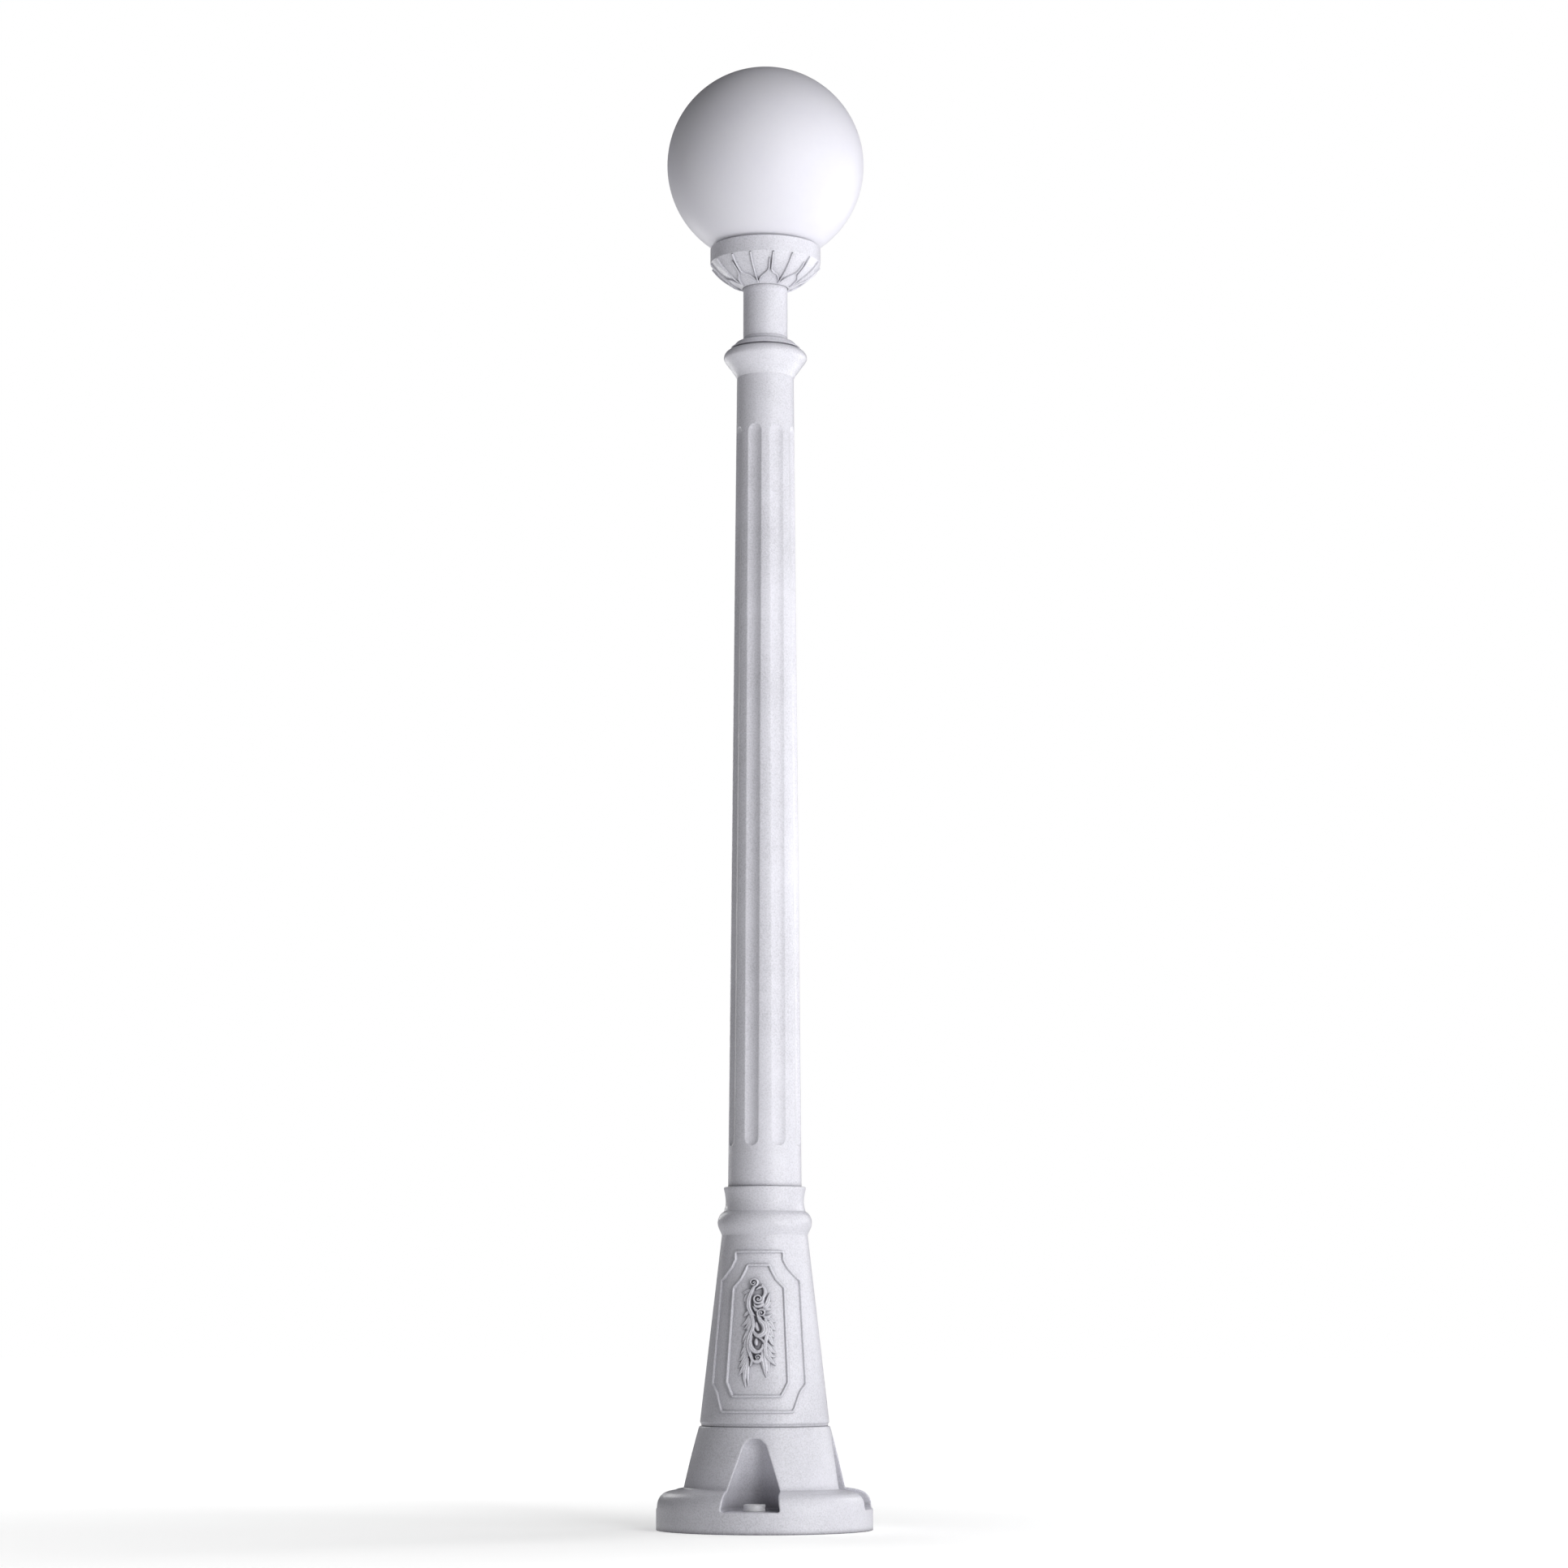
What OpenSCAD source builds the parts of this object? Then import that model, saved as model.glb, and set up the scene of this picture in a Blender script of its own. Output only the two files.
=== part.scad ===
// Garden lamp post: an opal globe on a fluted, tapered column with a cast pedestal and a round base.
// Millimetres, +Z up. The origin is the centre of the base's underside. The front faces -Y: it has one of
// the four bolt recesses and one of the two framed panels. Angles are counted from the front towards +X.

/* [Globe and lamp] */
// Outside diameter of the opal globe
globe_d = 300; // [290:1:310]
// Wall thickness of the globe
globe_wall = 3; // [2:0.5:4]
// Largest diameter of the lamp bulb
bulb_d = 60; // [45:1:60]

/* [Column] */
// Visible height of the fluted column, from the pedestal's collar to the capital
column_h = 1221; // [1000:1:1400]
// Number of flutes around the column
flute_count = 8; // [6:1:9]
// Depth of each flute below the column's surface
flute_depth = 3.5; // [2:0.5:4]
// How far the flutes are turned from the front
column_turn = 8.6; // [0:0.1:45]

/* [Core tube] */
// Outside diameter of the steel core tube
tube_d = 60.3; // [58:0.1:60.3]
// Wall thickness of the core tube
tube_wall = 2.9; // [2:0.1:4]

/* [Base and anchors] */
// Outside radius of the round base flange
base_r = 158.3; // [154:0.1:162]
// Diameter of the circle through the four anchor holes
bolt_circle_d = 210; // [206:1:214]
// Diameter of each anchor hole
anchor_hole_d = 14; // [13:0.5:15]
// Diameter of the round cap over each anchor nut
nut_cap_d = 32.4; // [30:0.2:36]

/* [Globe holder] */
// Number of petals in the rib pattern under the holder
petals = 8; // [6:1:8]
// How far the first straight rib is turned from the front
rib_turn = -8; // [-22:0.5:22]
// Width of a raised rib
rib_w = 2.4; // [1.6:0.2:3]

/* [Hidden] */
$fn = 96;

bolt_r = bolt_circle_d / 2;
floor_z = 31.5;          // flat floor of each bolt recess
skirt_r = 121;           // foot of the plinth's skirt
plinth_top = 150;
collar_top = 497;        // top of the pedestal's collar, where the column starts
cap_z = collar_top + column_h;
tube_r = tube_d / 2;
tube_bore = tube_r + 0.45;
rim_top = 203;           // heights from here on are counted from the capital's underside
neck_r = 75;
globe_r = globe_d / 2;
globe_c = rim_top + 0.8 + sqrt(globe_r * globe_r - neck_r * neck_r);
white = [0.93, 0.93, 0.95];

// Outer radius of the pedestal's cone, of the column, and a point inset from a closed outline
function cone_r(z) = 94.6 - (z - 155.5) * 31.4 / 271.5;
function col_r(z) = 54.2 - (z - collar_top) * 11.2 / column_h;
function unit(v) = v / norm(v);
function side(a, b) = let (u = unit(b - a)) [-u[1], u[0]];
function inset(p, d) = [for (i = [0:len(p) - 1])
    let (n = len(p), s = side(p[(i + n - 1) % n], p[i]), t = side(p[i], p[(i + 1) % n]))
    p[i] + d * (s + t) / (1 + s * t)];
function mirrored(p) = concat(p, [for (i = [len(p) - 1:-1:0]) [-p[i][0], p[i][1]]]);

module around(n, r = 0, start = 0) for (i = [0:n - 1]) rotate([0, 0, start + i * 360 / n]) translate([0, -r, 0]) children();
module head() translate([0, 0, cap_z]) children();
module ring(r_out, r_in, h) difference() { cylinder(r = r_out, h = h); translate([0, 0, -1]) cylinder(r = r_in, h = h + 2); }
module pan_screw(r, len, head_r, head_h) union() { translate([0, 0, -len]) cylinder(r = r, h = len + 0.2); cylinder(r = head_r, h = head_h); }

// ---------- base ----------
module recess_cutter() translate([0, 0, 0]) {
    translate([0, -bolt_r, floor_z]) cylinder(r1 = 43, r2 = 40.5, h = 25.5);
    translate([0, -bolt_r, floor_z + 25.4]) cylinder(r1 = 40.5, r2 = 17.2, h = 61.6);
    translate([0, -bolt_r, floor_z + 86]) sphere(r = 17.6);
    translate([0, -bolt_r, 0]) rotate([90, 0, 0]) linear_extrude(height = 70) polygon([[-42.4, floor_z], [42.4, floor_z], [39.4, 70], [-39.4, 70]]);
}
module base_plinth() color(white) difference() {
    rotate_extrude() polygon([[0, 0], [base_r, 0], [base_r, 35], [base_r - 0.8, 40], [base_r - 2.4, 45], [base_r - 5.4, 50],
        [base_r - 10.4, 54], [base_r - 17.5, 57], [base_r - 26.3, 59], [skirt_r, 60], [96.8, 146], [95.6, 149], [93, plinth_top], [0, plinth_top]]);
    around(4) recess_cutter();
    around(4, bolt_r) translate([0, 0, -1]) cylinder(d = anchor_hole_d, h = floor_z + 2);
    translate([0, 0, -1]) cylinder(r = 54, h = 61);
    translate([0, 0, 59]) cylinder(r = tube_bore, h = 20);
    around(4, 42, 45) translate([0, 0, 59]) cylinder(r = 4.1, h = 20);
    translate([0, 0, 72]) cylinder(r = 54, h = 30);
    translate([0, 0, 101]) cylinder(r1 = 54, r2 = 78, h = 29);
    translate([0, 0, 129]) cylinder(r = 78, h = 30);
}
module anchor_washers() color("silver") around(4, bolt_r) translate([0, 0, floor_z]) ring(12, 6.6, 2);
module anchor_nuts() color("silver") around(4, bolt_r) translate([0, 0, floor_z + 2]) difference() {
    cylinder(r = 10.2, h = 6, $fn = 6);
    translate([0, 0, -1]) cylinder(r = 6, h = 8);
}
module anchor_caps() color("white") around(4, bolt_r) translate([0, 0, floor_z]) difference() {
    union() { cylinder(d = nut_cap_d, h = 8.9); translate([0, 0, 8.8]) cylinder(d1 = nut_cap_d, d2 = nut_cap_d - 1.4, h = 0.7); }
    translate([0, 0, -1]) cylinder(r = 12.2, h = 9.3);
}

// ---------- pedestal ----------
outer_frame = [[-51, 171], [51, 171], [53.5, 176], [60, 199], [67, 211], [57, 360], [49, 368], [40, 378], [34, 390], [34, 400],
    [-34, 400], [-34, 390], [-40, 378], [-49, 368], [-57, 360], [-67, 211], [-60, 199], [-53.5, 176]];
inner_frame = [[-34.5, 192.5], [34.5, 192.5], [36.5, 196], [43.5, 214], [37.5, 349], [25, 362], [18, 374], [14.5, 382],
    [-14.5, 382], [-18, 374], [-25, 362], [-37.5, 349], [-43.5, 214], [-36.5, 196]];
module cone_skin(under, over) rotate_extrude() polygon([[cone_r(160) - under, 160], [cone_r(160) + over, 160], [cone_r(410) + over, 410], [cone_r(410) - under, 410]]);
module bead_frame(points) rotate([90, 0, 0]) linear_extrude(height = 110) difference() { polygon(points); polygon(inset(points, 3.6)); }
module pedestal_shell() color(white) {
    difference() {
        rotate_extrude() polygon([[72, 142], [77.5, 142], [77.5, plinth_top], [92.8, plinth_top], [92.8, 153], [94.6, 155.5], [63.2, 427],
            [65.2, 431.5], [67.2, 435.5], [68.9, 440], [69.5, 445], [68.8, 450.5], [66.5, 455.5], [63.5, 459], [60, 461.5],
            [59.6, 464], [58.2, 469], [57.6, 475], [58, 481], [59, 488], [60.2, 493], [60.2, collar_top],
            [48.4, collar_top], [48.4, 478], [54, 470], [54, 436], [57.5, 424], [88, 160], [72, 152]]);
    }
    intersection() { cone_skin(2, 1.8); bead_frame(outer_frame); }
    intersection() { cone_skin(2, 1.8); bead_frame(inner_frame); }
    rotate([0, 0, 180]) intersection() { cone_skin(2, 1.8); bead_frame(outer_frame); }
    rotate([0, 0, 180]) intersection() { cone_skin(2, 1.8); bead_frame(inner_frame); }
}
// A leaf is the lens where two equal circles cross, with its stalk at the origin and its tip at the given length.
module leaf(x, z, turn, len, w) translate([x, z]) rotate(turn) intersection() {
    translate([len / 2, (len * len / w - w) / 4]) circle(r = (len * len / w + w) / 4);
    translate([len / 2, -(len * len / w - w) / 4]) circle(r = (len * len / w + w) / 4);
}
module volute(x, z, r, w) translate([x, z]) difference() { circle(r = r); circle(r = r - w); }
// A curved stem is part of a ring: centre, middle radius, width, and the box that keeps the wanted part.
module stem(x, z, r, w, box) intersection() {
    translate([x, z]) difference() { circle(r = r + w / 2); circle(r = r - w / 2); }
    translate([box[0], box[1]]) square([box[2] - box[0], box[3] - box[1]]);
}
module scroll_outline() {
    volute(-14, 352, 7, 3.5);
    volute(-7, 330, 8, 4);
    volute(2, 312, 6, 3);
    stem(26, 330, 42, 6, [-30, 300, -6, 350]);
    stem(-38, 288, 32, 6, [-20, 262, -2, 312]);
    stem(16, 288, 17, 5.5, [-4, 268, 34, 308]);
    stem(4, 262, 16, 6, [-16, 244, 24, 268]);
    volute(-4, 262, 7, 3.5);
    volute(-2, 240, 6.5, 3.5);
    stem(34, 232, 50, 7, [-24, 212, -8, 262]);
    leaf(-12, 346, 200, 20, 7); leaf(-14, 338, 222, 20, 7);
    leaf(-1, 334, 62, 22, 8); leaf(4, 314, 12, 22, 7); leaf(4, 310, -22, 24, 8);
    leaf(-14, 312, 200, 17, 7); leaf(-12, 304, 222, 22, 8); leaf(-6, 292, 232, 24, 8);
    leaf(-10, 276, 236, 30, 9); leaf(14, 286, -50, 30, 9); leaf(12, 268, -40, 34, 9);
    leaf(-13, 252, 222, 24, 9); leaf(-14, 240, 234, 28, 9); leaf(-15, 226, 262, 32, 7);
    leaf(10, 250, -62, 42, 11); leaf(0, 238, -60, 34, 11);
}
module scroll() intersection() { cone_skin(0, 5); rotate([90, 0, 0]) linear_extrude(height = 110) scroll_outline(); }
module panel_scroll_front() color(white) scroll();
module panel_scroll_rear() color(white) rotate([0, 0, 180]) scroll();

// ---------- core ----------
module core_tube() color("slategray") translate([0, 0, 60]) ring(tube_r, tube_r - tube_wall, cap_z + 170 - 60);
module foot_plate() color("slategray") difference() {
    translate([0, 0, 52]) cylinder(r = 50, h = 8);
    translate([0, 0, 51]) cylinder(r = 12.2, h = 10);
    around(4, 42, 45) translate([0, 0, 51]) cylinder(r = 4.5, h = 10);
    around(2, 19, 90) translate([0, 0, 51]) cylinder(r = 1.7, h = 6);
}
module foot_plate_bolts() color("silver") around(4, 42, 45) translate([0, 0, 46.7]) {
    cylinder(r = 7.5, h = 5.3, $fn = 6);
    translate([0, 0, 5]) cylinder(r = 4, h = 18.5);
}
module centring_ring() color("dimgray") translate([0, 0, 440]) ring(53.8, tube_r + 0.05, 12);

// ---------- column ----------
module flute() {
    half = 10.7;
    rho = (half * half + pow(flute_depth - 1.2, 2)) / (2 * (flute_depth - 1.2));
    z0 = collar_top + 71;
    z1 = cap_z - 89;
    d0 = col_r(z0) - flute_depth + rho;
    d1 = col_r(z1) - flute_depth + rho;
    run = norm([d0 - d1, z1 - z0]);
    translate([0, -d0, z0]) rotate([-atan((d0 - d1) / (z1 - z0)), 0, 0]) rotate_extrude() intersection() {
        union() { square([rho, run]); circle(r = rho); translate([0, run]) circle(r = rho); }
        translate([0, -rho - 1]) square([rho + 1, run + 2 * rho + 2]);
    }
}
module column_shaft() color(white) difference() {
    rotate_extrude() polygon([[42, collar_top - 17], [48.1, collar_top - 17], [48.1, collar_top], [54.2, collar_top],
        [43, cap_z], [35.8, cap_z], [46.2, collar_top + 20], [42, collar_top + 10]]);
    around(flute_count, 0, column_turn + 180 / flute_count) flute();
}
module column_capital() color(white) head() rotate_extrude() polygon([[30.7, -14], [35.3, -14], [35.3, 0], [42.9, 0], [46, 6],
    [50.5, 12], [55, 18.5], [60, 25], [62.6, 29.5], [63, 32.5], [62.3, 37], [60.4, 40], [56, 45], [53.5, 47.5], [51, 50], [49.2, 51.4],
    [46.8, 52.4], [44.4, 55], [42.2, 58], [38.6, 60.5], [35, 62], [34.6, 63], [30.7, 63]]);

// ---------- sleeve and globe holder ----------
module spigot_sleeve() color(white) head() difference() {
    rotate_extrude() polygon([[30.7, 63], [33.6, 63], [33.6, 152], [46, 152], [46, 157], [38, 157], [38, 172], [30.7, 172]]);
    around(3, 0, 30) translate([0, -28, 165]) rotate([90, 0, 0]) cylinder(r = 3.05, h = 14);
    around(3, 42, 60) translate([0, 0, 150]) cylinder(r = 2.2, h = 10);
}
module sleeve_grub_screws() color("silver") head() around(3, 0, 30) translate([0, -tube_r, 165]) rotate([90, 0, 0]) cylinder(r = 3, h = 8);
holder_skin = [[34.8, 138], [40, 141.3], [48.6, 146.2], [55.8, 151.3], [63, 156.5], [69, 161.5], [74, 166.5], [78, 171.8], [83.8, 179]];
module spoke(r0, r1, a0, a1) {
    p = r0 * [sin(a0), -cos(a0)];
    q = r1 * [sin(a1), -cos(a1)];
    translate(p) rotate(atan2(q[1] - p[1], q[0] - p[0])) translate([-0.6, -rib_w / 2]) square([norm(q - p) + 1.2, rib_w]);
}
module petal_ribs() for (i = [0:petals - 1]) rotate(rib_turn + i * 360 / petals) {
    spoke(38, 83, 0, 0);
    spoke(41, 51, 2, 9.5); spoke(51, 58, 9.5, 19.5); spoke(58, 77, 19.5, 20);
    spoke(41, 51, -2, -9.5); spoke(51, 58, -9.5, -19.5); spoke(58, 83, -19.5, -20);
}
module globe_holder() color(white) head() difference() {
    union() {
        rotate_extrude() polygon(concat(holder_skin, [[83.8, 202], [83, rim_top], [79.5, rim_top], [79.5, 179], [70.5, 179], [70.5, 171],
            [66, 165], [61, 160.5], [56, 157], [46.4, 157], [46.4, 152], [33.8, 152], [33.8, 138]]));
        intersection() {
            rotate_extrude() polygon(concat([for (p = holder_skin) [p[0] + 1.4, p[1] - 1.4]], [for (i = [len(holder_skin) - 1:-1:0]) [holder_skin[i][0] - 1, holder_skin[i][1] + 1]]));
            translate([0, 0, 130]) linear_extrude(height = 49) petal_ribs();
            cylinder(r = 83.8, h = 300);
        }
    }
    around(3, 42, 60) translate([0, 0, 145.5]) cylinder(r = 1.9, h = 10);
    around(2, 50, 90) translate([0, 0, 151.5]) cylinder(r = 1.9, h = 10);
    translate([0, 50, 151.5]) cylinder(r = 1.9, h = 10);
    around(3, 0, 0) translate([0, -78, 186]) rotate([90, 0, 0]) cylinder(r = 1.55, h = 4);
}
module holder_screws() color("silver") head() around(3, 42, 60) translate([0, 0, 157]) pan_screw(1.85, 11, 3.4, 2.4);
module globe_gasket() color("dimgray") head() translate([0, 0, 179]) ring(79.3, 70.8, 3);
module globe_clips() color("silver") head() difference() {
    around(3) translate([5, 0, 0]) rotate([90, 0, -90]) linear_extrude(height = 10)
        polygon([[79.2, 183], [79.2, 189], [76.3, 195], [78.2, 201], [77.6, 201.3], [75.4, 195], [78.5, 188.8], [78.5, 183]]);
    around(3) translate([0, -77, 186]) rotate([90, 0, 0]) cylinder(r = 1.5, h = 5);
}
module clip_rivets() color("silver") head() around(3) translate([0, -78, 186]) rotate([90, 0, 0]) { cylinder(r = 1.5, h = 3.9); translate([0, 0, -0.4]) cylinder(r = 2.4, h = 0.9); }

// ---------- lamp bracket, terminals and leads ----------
module lamp_bracket() color("silver") head() difference() {
    translate([0, 7, 0]) rotate([90, 0, 0]) linear_extrude(height = 14)
        polygon([[-54, 157], [-40, 157], [-40, 198], [40, 198], [40, 157], [54, 157], [54, 159], [42, 159], [42, 200], [-42, 200], [-42, 159], [-54, 159]]);
    around(2, 50, 90) translate([0, 0, 156]) cylinder(r = 2.2, h = 5);
    around(2, 6, 90) translate([0, 0, 197]) cylinder(r = 2, h = 5);
    around(2, 15, 90) translate([0, 0, 197]) cylinder(r = 1.7, h = 5);
}
module bracket_screws() color("silver") head() around(2, 50, 90) translate([0, 0, 159]) pan_screw(1.85, 7, 3.2, 2);
module terminal_block() color("ivory") head() difference() {
    translate([-12, -7, 186]) cube([24, 14, 12]);
    for (x = [-8, 0, 8]) translate([x, -8, 192]) rotate([-90, 0, 0]) cylinder(r = 1.6, h = 5);
    for (x = [-6, 6]) translate([x, 0, 194]) cylinder(r = 1.25, h = 5);
    translate([0, 0, 185]) cylinder(r = 3.6, h = 4);
}
module terminal_screws() color("silver") head() for (x = [-8, 0, 8]) translate([x, -6.5, 192]) rotate([-90, 0, 0]) cylinder(r = 1.5, h = 3.4);
module earth_screw() color("gold") head() translate([0, 50, 157]) pan_screw(1.85, 5, 3.4, 2.2);
module internal_cable() color("white") translate([0, 0, 49]) cylinder(r = 3.5, h = cap_z + 189 - 49);
module lamp_leads() color("peru") head() for (x = [-6, 6]) translate([x, 0, 194.2]) cylinder(r = 1.2, h = 10.8);

// ---------- lampholder ----------
module lampholder_body() color("ivory") head() difference() {
    union() { translate([0, 0, 200]) cylinder(r = 21, h = 14); translate([0, 0, 213.9]) cylinder(r1 = 21, r2 = 19, h = 4); translate([0, 0, 217.8]) cylinder(r = 19, h = 29); }
    translate([0, 0, 199]) cylinder(r = 9, h = 7);
    translate([0, 0, 214]) cylinder(r = 14.2, h = 40);
    around(2, 15, 90) translate([0, 0, 199]) cylinder(r = 1.5, h = 10);
    translate([0, 0, 205]) cylinder(r = 1.6, h = 10);
}
module lampholder_shell() color("gold") head() translate([0, 0, 216]) ring(14.15, 13.4, 26);
module lampholder_contact() color("gold") head() { translate([0, 0, 204]) cylinder(r = 1.55, h = 10.2); translate([0, 0, 214]) cylinder(r = 5, h = 2.2); }
module lampholder_screws() color("silver") head() around(2, 15, 90) translate([0, 0, 198]) mirror([0, 0, 1]) pan_screw(1.45, 10, 2.6, 1.4);

// ---------- supply inlet under the foot plate ----------
module supply_inlet() color("dimgray") difference() {
    union() { translate([0, 0, 26]) cylinder(r = 12, h = 34); translate([0, 0, 47.5]) cylinder(r = 23, h = 3); }
    translate([0, 0, 25]) cylinder(r = 9, h = 17);
    translate([0, 0, 49]) cylinder(r = 3.6, h = 12);
    around(3, 5) translate([0, 0, 40]) cylinder(r = 1.05, h = 8);
    around(2, 19, 90) translate([0, 0, 46]) cylinder(r = 1.7, h = 6);
}
module inlet_pins() color("gold") around(3, 5) translate([0, 0, 31]) cylinder(r = 1, h = 16);
module inlet_seal() color("black") difference() {
    translate([0, 0, 50.5]) ring(23, 12.1, 1.5);
    around(2, 19, 90) translate([0, 0, 50]) cylinder(r = 1.7, h = 3);
}
module inlet_screws() color("silver") around(2, 19, 90) translate([0, 0, 47.5]) mirror([0, 0, 1]) pan_screw(1.6, 8.5, 3, 1.8);

// ---------- globe ----------
module globe() color("white") head() difference() {
    union() { translate([0, 0, globe_c]) sphere(r = globe_r, $fn = 128); translate([0, 0, 182]) cylinder(r = neck_r, h = 28); }
    translate([0, 0, globe_c]) sphere(r = globe_r - globe_wall, $fn = 128);
    translate([0, 0, 181]) cylinder(r = neck_r - globe_wall, h = 40);
}

// ---------- lamp ----------
module lamp_tip_contact() color("gainsboro") head() { translate([0, 0, 216.5]) cylinder(r1 = 3, r2 = 4.6, h = 1.6); translate([0, 0, 218]) cylinder(r = 4.6, h = 1); }
module lamp_insulator() color("black") head() translate([0, 0, 219.3]) cylinder(r1 = 6.5, r2 = 11.6, h = 3);
module lamp_cap() color("silver") head() { translate([0, 0, 222.3]) cylinder(r1 = 12, r2 = 13, h = 1.5); translate([0, 0, 223.7]) cylinder(r = 13, h = 22); translate([0, 0, 245.6]) cylinder(r1 = 13, r2 = 14, h = 4.4); }
module lamp_glass() color("white") head() {
    b = bulb_d / 2;
    difference() {
        rotate_extrude() {
            polygon([[0, 250], [14, 250], [15, 258], [18, 268], [b - 7.6, 280], [b - 1.6, 291], [0, 291]]);
            intersection() { translate([0, 298]) circle(r = b); translate([0, 290]) square([b + 1, b + 10]); }
        }
        rotate_extrude() {
            polygon([[0, 252], [12.5, 252], [13.5, 258.4], [16.6, 268.6], [b - 9, 280.6], [b - 3, 291], [0, 291]]);
            intersection() { translate([0, 298]) circle(r = b - 1.2); translate([0, 290]) square([b + 1, b + 10]); }
        }
    }
}

base_plinth();
pedestal_shell();
panel_scroll_front();
panel_scroll_rear();
core_tube();
foot_plate();
foot_plate_bolts();
supply_inlet();
inlet_pins();
inlet_seal();
inlet_screws();
centring_ring();
column_shaft();
column_capital();
spigot_sleeve();
sleeve_grub_screws();
globe_holder();
holder_screws();
globe_gasket();
globe_clips();
clip_rivets();
lamp_bracket();
bracket_screws();
terminal_block();
terminal_screws();
earth_screw();
internal_cable();
lamp_leads();
lampholder_body();
lampholder_shell();
lampholder_contact();
lampholder_screws();
anchor_washers();
anchor_nuts();
anchor_caps();
globe();
lamp_tip_contact();
lamp_cap();
lamp_insulator();
lamp_glass();
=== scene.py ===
import math
import bpy
import numpy as np
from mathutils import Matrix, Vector


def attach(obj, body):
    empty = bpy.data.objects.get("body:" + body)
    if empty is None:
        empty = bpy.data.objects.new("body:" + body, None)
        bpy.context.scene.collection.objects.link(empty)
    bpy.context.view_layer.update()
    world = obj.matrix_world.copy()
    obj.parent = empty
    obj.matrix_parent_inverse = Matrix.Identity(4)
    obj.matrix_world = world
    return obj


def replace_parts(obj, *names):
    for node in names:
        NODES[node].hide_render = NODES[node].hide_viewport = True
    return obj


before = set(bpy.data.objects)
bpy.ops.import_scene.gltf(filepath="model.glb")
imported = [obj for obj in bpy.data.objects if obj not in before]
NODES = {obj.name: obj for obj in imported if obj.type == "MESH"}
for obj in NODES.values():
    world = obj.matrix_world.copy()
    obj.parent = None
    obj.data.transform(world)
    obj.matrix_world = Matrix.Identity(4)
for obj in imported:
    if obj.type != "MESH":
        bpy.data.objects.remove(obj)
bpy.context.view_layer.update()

MM = 0.001
HEAD = 1718.0          # underside of the capital, in mm above the ground

# ------------------------------------------------------------------ materials


def new_mat(name):
    m = bpy.data.materials.new(name)
    m.use_nodes = True
    nt = m.node_tree
    bsdf = nt.nodes["Principled BSDF"]
    coord = nt.nodes.new("ShaderNodeTexCoord")
    return m, nt, bsdf, coord.outputs["Object"]


def noise(nt, vec, scale, detail=4.0, rough=0.55, dist=0.0):
    n = nt.nodes.new("ShaderNodeTexNoise")
    n.inputs["Scale"].default_value = scale
    n.inputs["Detail"].default_value = detail
    n.inputs["Roughness"].default_value = rough
    n.inputs["Distortion"].default_value = dist
    nt.links.new(vec, n.inputs["Vector"])
    return n.outputs["Fac"]


def remap(nt, value, a, b, lo, hi):
    r = nt.nodes.new("ShaderNodeMapRange")
    r.inputs["From Min"].default_value = a
    r.inputs["From Max"].default_value = b
    r.inputs["To Min"].default_value = lo
    r.inputs["To Max"].default_value = hi
    nt.links.new(value, r.inputs["Value"])
    return r.outputs["Result"]


def math_node(nt, op, a, b):
    n = nt.nodes.new("ShaderNodeMath")
    n.operation = op
    for i, v in enumerate((a, b)):
        if isinstance(v, (int, float)):
            n.inputs[i].default_value = v
        else:
            nt.links.new(v, n.inputs[i])
    return n.outputs[0]


def ramp(nt, value, stops):
    r = nt.nodes.new("ShaderNodeValToRGB")
    e = r.color_ramp.elements
    e[0].position, e[0].color = stops[0][0], (*stops[0][1], 1)
    e[1].position, e[1].color = stops[-1][0], (*stops[-1][1], 1)
    for p, c in stops[1:-1]:
        s = e.new(p)
        s.color = (*c, 1)
    nt.links.new(value, r.inputs["Fac"])
    return r.outputs["Color"]


def bump(nt, bsdf, height, strength, distance):
    b = nt.nodes.new("ShaderNodeBump")
    b.inputs["Strength"].default_value = strength
    b.inputs["Distance"].default_value = distance
    nt.links.new(height, b.inputs["Height"])
    nt.links.new(b.outputs["Normal"], bsdf.inputs["Normal"])
    return b


def stretched(nt, vec, scale):
    m = nt.nodes.new("ShaderNodeMapping")
    m.inputs["Scale"].default_value = scale
    nt.links.new(vec, m.inputs["Vector"])
    return m.outputs["Vector"]


def tint(base, f):
    return tuple(min(1.0, c * f) for c in base)


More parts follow.
